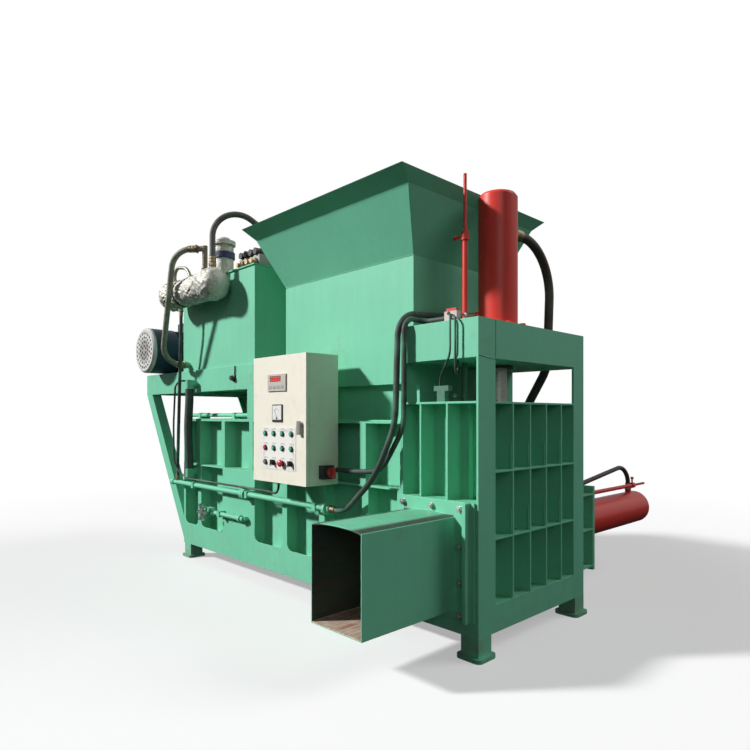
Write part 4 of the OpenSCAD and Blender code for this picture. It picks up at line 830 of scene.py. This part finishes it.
# dark plug with its level tube on the platform beam

FRONT = (0, -1, 0)
plug = row([-2020, 0, 1320])
disc = turned([(0, 0), (0, 0.024), (0.006, 0.024), (0.008, 0.021), (0.008, 0)], plug, FRONT)
cap = hexagon(0.030, 0.008, 0.030, plug, FRONT)
level_tube = tube(row([[-2003, -6, z] for z in (1322, 1350, 1376, 1402)]), 0.004, 12)
piece("beam_plug", gather([disc, cap, level_tube]), "frame", black)

# the dressed control door: display, meter, labels and seal

DOOR_FACE = -217


def on_door(low, high, back, front, edge):
    """A slab on the door from (x, z) low to high, standing between two heights above its face."""
    return slab(row([low[0], DOOR_FACE - front, low[1]]),
                row([high[0], DOOR_FACE - back, high[1]]), edge)


def digit(x, z, wide, tall, bars):
    """A seven bar figure of thin slabs: top, two upper, middle, two lower and bottom bars."""
    t, gap = 2.2, 0.3
    places = [((0, tall - t), (wide, tall)),
              ((0, tall / 2), (t, tall)),
              ((wide - t, tall / 2), (wide, tall)),
              ((0, tall / 2 - t / 2), (wide, tall / 2 + t / 2)),
              ((0, 0), (t, tall / 2)),
              ((wide - t, 0), (wide, tall / 2)),
              ((0, 0), (wide, t))]
    return [on_door((x + p[0] + gap, z + p[1] + gap), (x + q[0] - gap, z + q[1] - gap),
                    9.2, 10, 0.0002) for p, q in (places[k] for k in bars)]


piece("display_window", on_door((-1254, 1254), (-1152, 1284), 8, 9.2, 0.0004), "door", black,
      False)
ZERO_BARS = (0, 1, 2, 4, 5, 6)
figures = [bar for k in range(4) for bar in digit(-1243 + 23 * k, 1259, 14, 20, ZERO_BARS)]
piece("display_digits", gather(figures), "door", lamp, False)
keys = [on_door((-1265 + 38 * k, 1215), (-1240 + 38 * k, 1232), 8, 10, 0.0008) for k in range(4)]
piece("display_keys", gather(keys), "door", gear, False)
piece("meter_face", on_door((-1232, 1044), (-1148, 1122), 6, 7, 0.0006), "door", white,
      False)

METER_X, DIAL_POINTS, NEEDLE_POINTS = -1190, 22, 8
swing = np.linspace(math.radians(135), math.radians(45), DIAL_POINTS)
dial = row(np.stack([METER_X + 34 * np.cos(swing), np.full(DIAL_POINTS, DOOR_FACE - 7.3),
                     1058 + 46 * np.sin(swing)], -1))
needle = row(np.linspace([METER_X, DOOR_FACE - 7.6, 1056], [METER_X - 22, DOOR_FACE - 7.6, 1098],
                         NEEDLE_POINTS))
hub = turned([(0, 0), (0, 0.007), (0.002, 0.006), (0.002, 0)], row([METER_X, DOOR_FACE - 7, 1052]),
             FRONT)
hand = [tube(dial, 0.0007, 6), tube(needle, np.linspace(0.0012, 0.0004, NEEDLE_POINTS), 6), hub]
piece("meter_hand", gather(hand), "door", black)

BUTTON_X, BUTTON_Z, COLUMN_STEP, ROW_STEP = -1306, 808, 82, 80
labels = []
for column in range(4):
    for up in (2, 1, 0):
        x, z = BUTTON_X + COLUMN_STEP * column, BUTTON_Z + ROW_STEP * up
        labels.append(on_door((x - 17, z + 20), (x + 17, z + 30), 2.05, 2.9, 0.0003))
piece("button_labels", gather(labels), "door", paper, False)

corners = row([[-1428, -196, 702], [-940, -196, 702], [-940, -196, 1390], [-1428, -196, 1390],
               [-1428, -196, 702]])
rim = np.concatenate([np.linspace(a, b, 30, endpoint=False) for a, b in zip(corners, corners[1:])])
piece("door_seal", tube(rim, 0.0009, 8), "door", seal)

# floor, world and lamps

FLOOR_REACH = 40
FLOOR_FADE, FLOOR_FADE_SOFT = 4.2, 2.0
WHITE = (1, 1, 1, 1)
steps = np.linspace(-FLOOR_REACH, FLOOR_REACH, 3)
gx, gy = np.meshgrid(steps, steps, indexing="ij")
ground = bpy.data.meshes.new("floor")
ground.from_pydata(np.stack([gx, gy, 0 * gx], -1).reshape(-1, 3).tolist(), [],
                   grid_faces(3, 3, False).tolist())
floor = bpy.data.objects.new("floor", ground)
scene.collection.objects.link(floor)
pale = bpy.data.materials.new("pale_floor")
wire = Wire(blank_tree(pale))
spot = wire.node("ShaderNodeTexCoord", out="Object")
away = spot.node("ShaderNodeVectorMath", {"operation": "LENGTH"}, {0: spot}, 1)
far = away.above(FLOOR_FADE, FLOOR_FADE_SOFT)
seen = wire.node("ShaderNodeLightPath", out="Is Camera Ray")
plain = wire.node("ShaderNodeBsdfDiffuse", {}, {"Color": (0.06 + 0.82 * seen).grey()})
shine = wire.node("ShaderNodeEmission", {}, {"Color": WHITE, "Strength": 1.0})
mixed = wire.node("ShaderNodeMixShader", {}, {0: seen * (0.4 + 0.6 * far), 1: plain, 2: shine})
show(mixed, "ShaderNodeOutputMaterial")
ground.materials.append(pale)

world = bpy.data.worlds.new("studio")
scene.world = world
wire = Wire(blank_tree(world))
direct, glossy, through = [wire.node("ShaderNodeLightPath", out="Is %s Ray" % kind)
                           for kind in ("Camera", "Glossy", "Transmission")]
shown = wire.math("ADD", direct + glossy * 0.45, through, True)
sky = wire.node("ShaderNodeBackground", {}, {"Color": WHITE, "Strength": 0.03 + 0.97 * shown})
show(sky, "ShaderNodeOutputWorld")

# each lamp's direction, strength and width in degrees
LAMPS = {
    "key": ((0.82, 1.0, -0.76), 4.6, 5),
    "back_fill": ((-0.50, -0.55, -0.67), 1.0, 30),
    "side_fill": ((-0.70, 0.62, -0.35), 0.30, 30),
}
for name, ((x, y, z), strength, wide) in LAMPS.items():
    sun = bpy.data.objects.new(name, bpy.data.lights.new(name, "SUN"))
    sun.data.energy = strength
    sun.data.angle = math.radians(wide)
    sun.rotation_euler = (math.atan2(math.hypot(x, y), -z), 0, math.atan2(-x, y))
    scene.collection.objects.link(sun)
scene.view_settings.view_transform = "Standard"
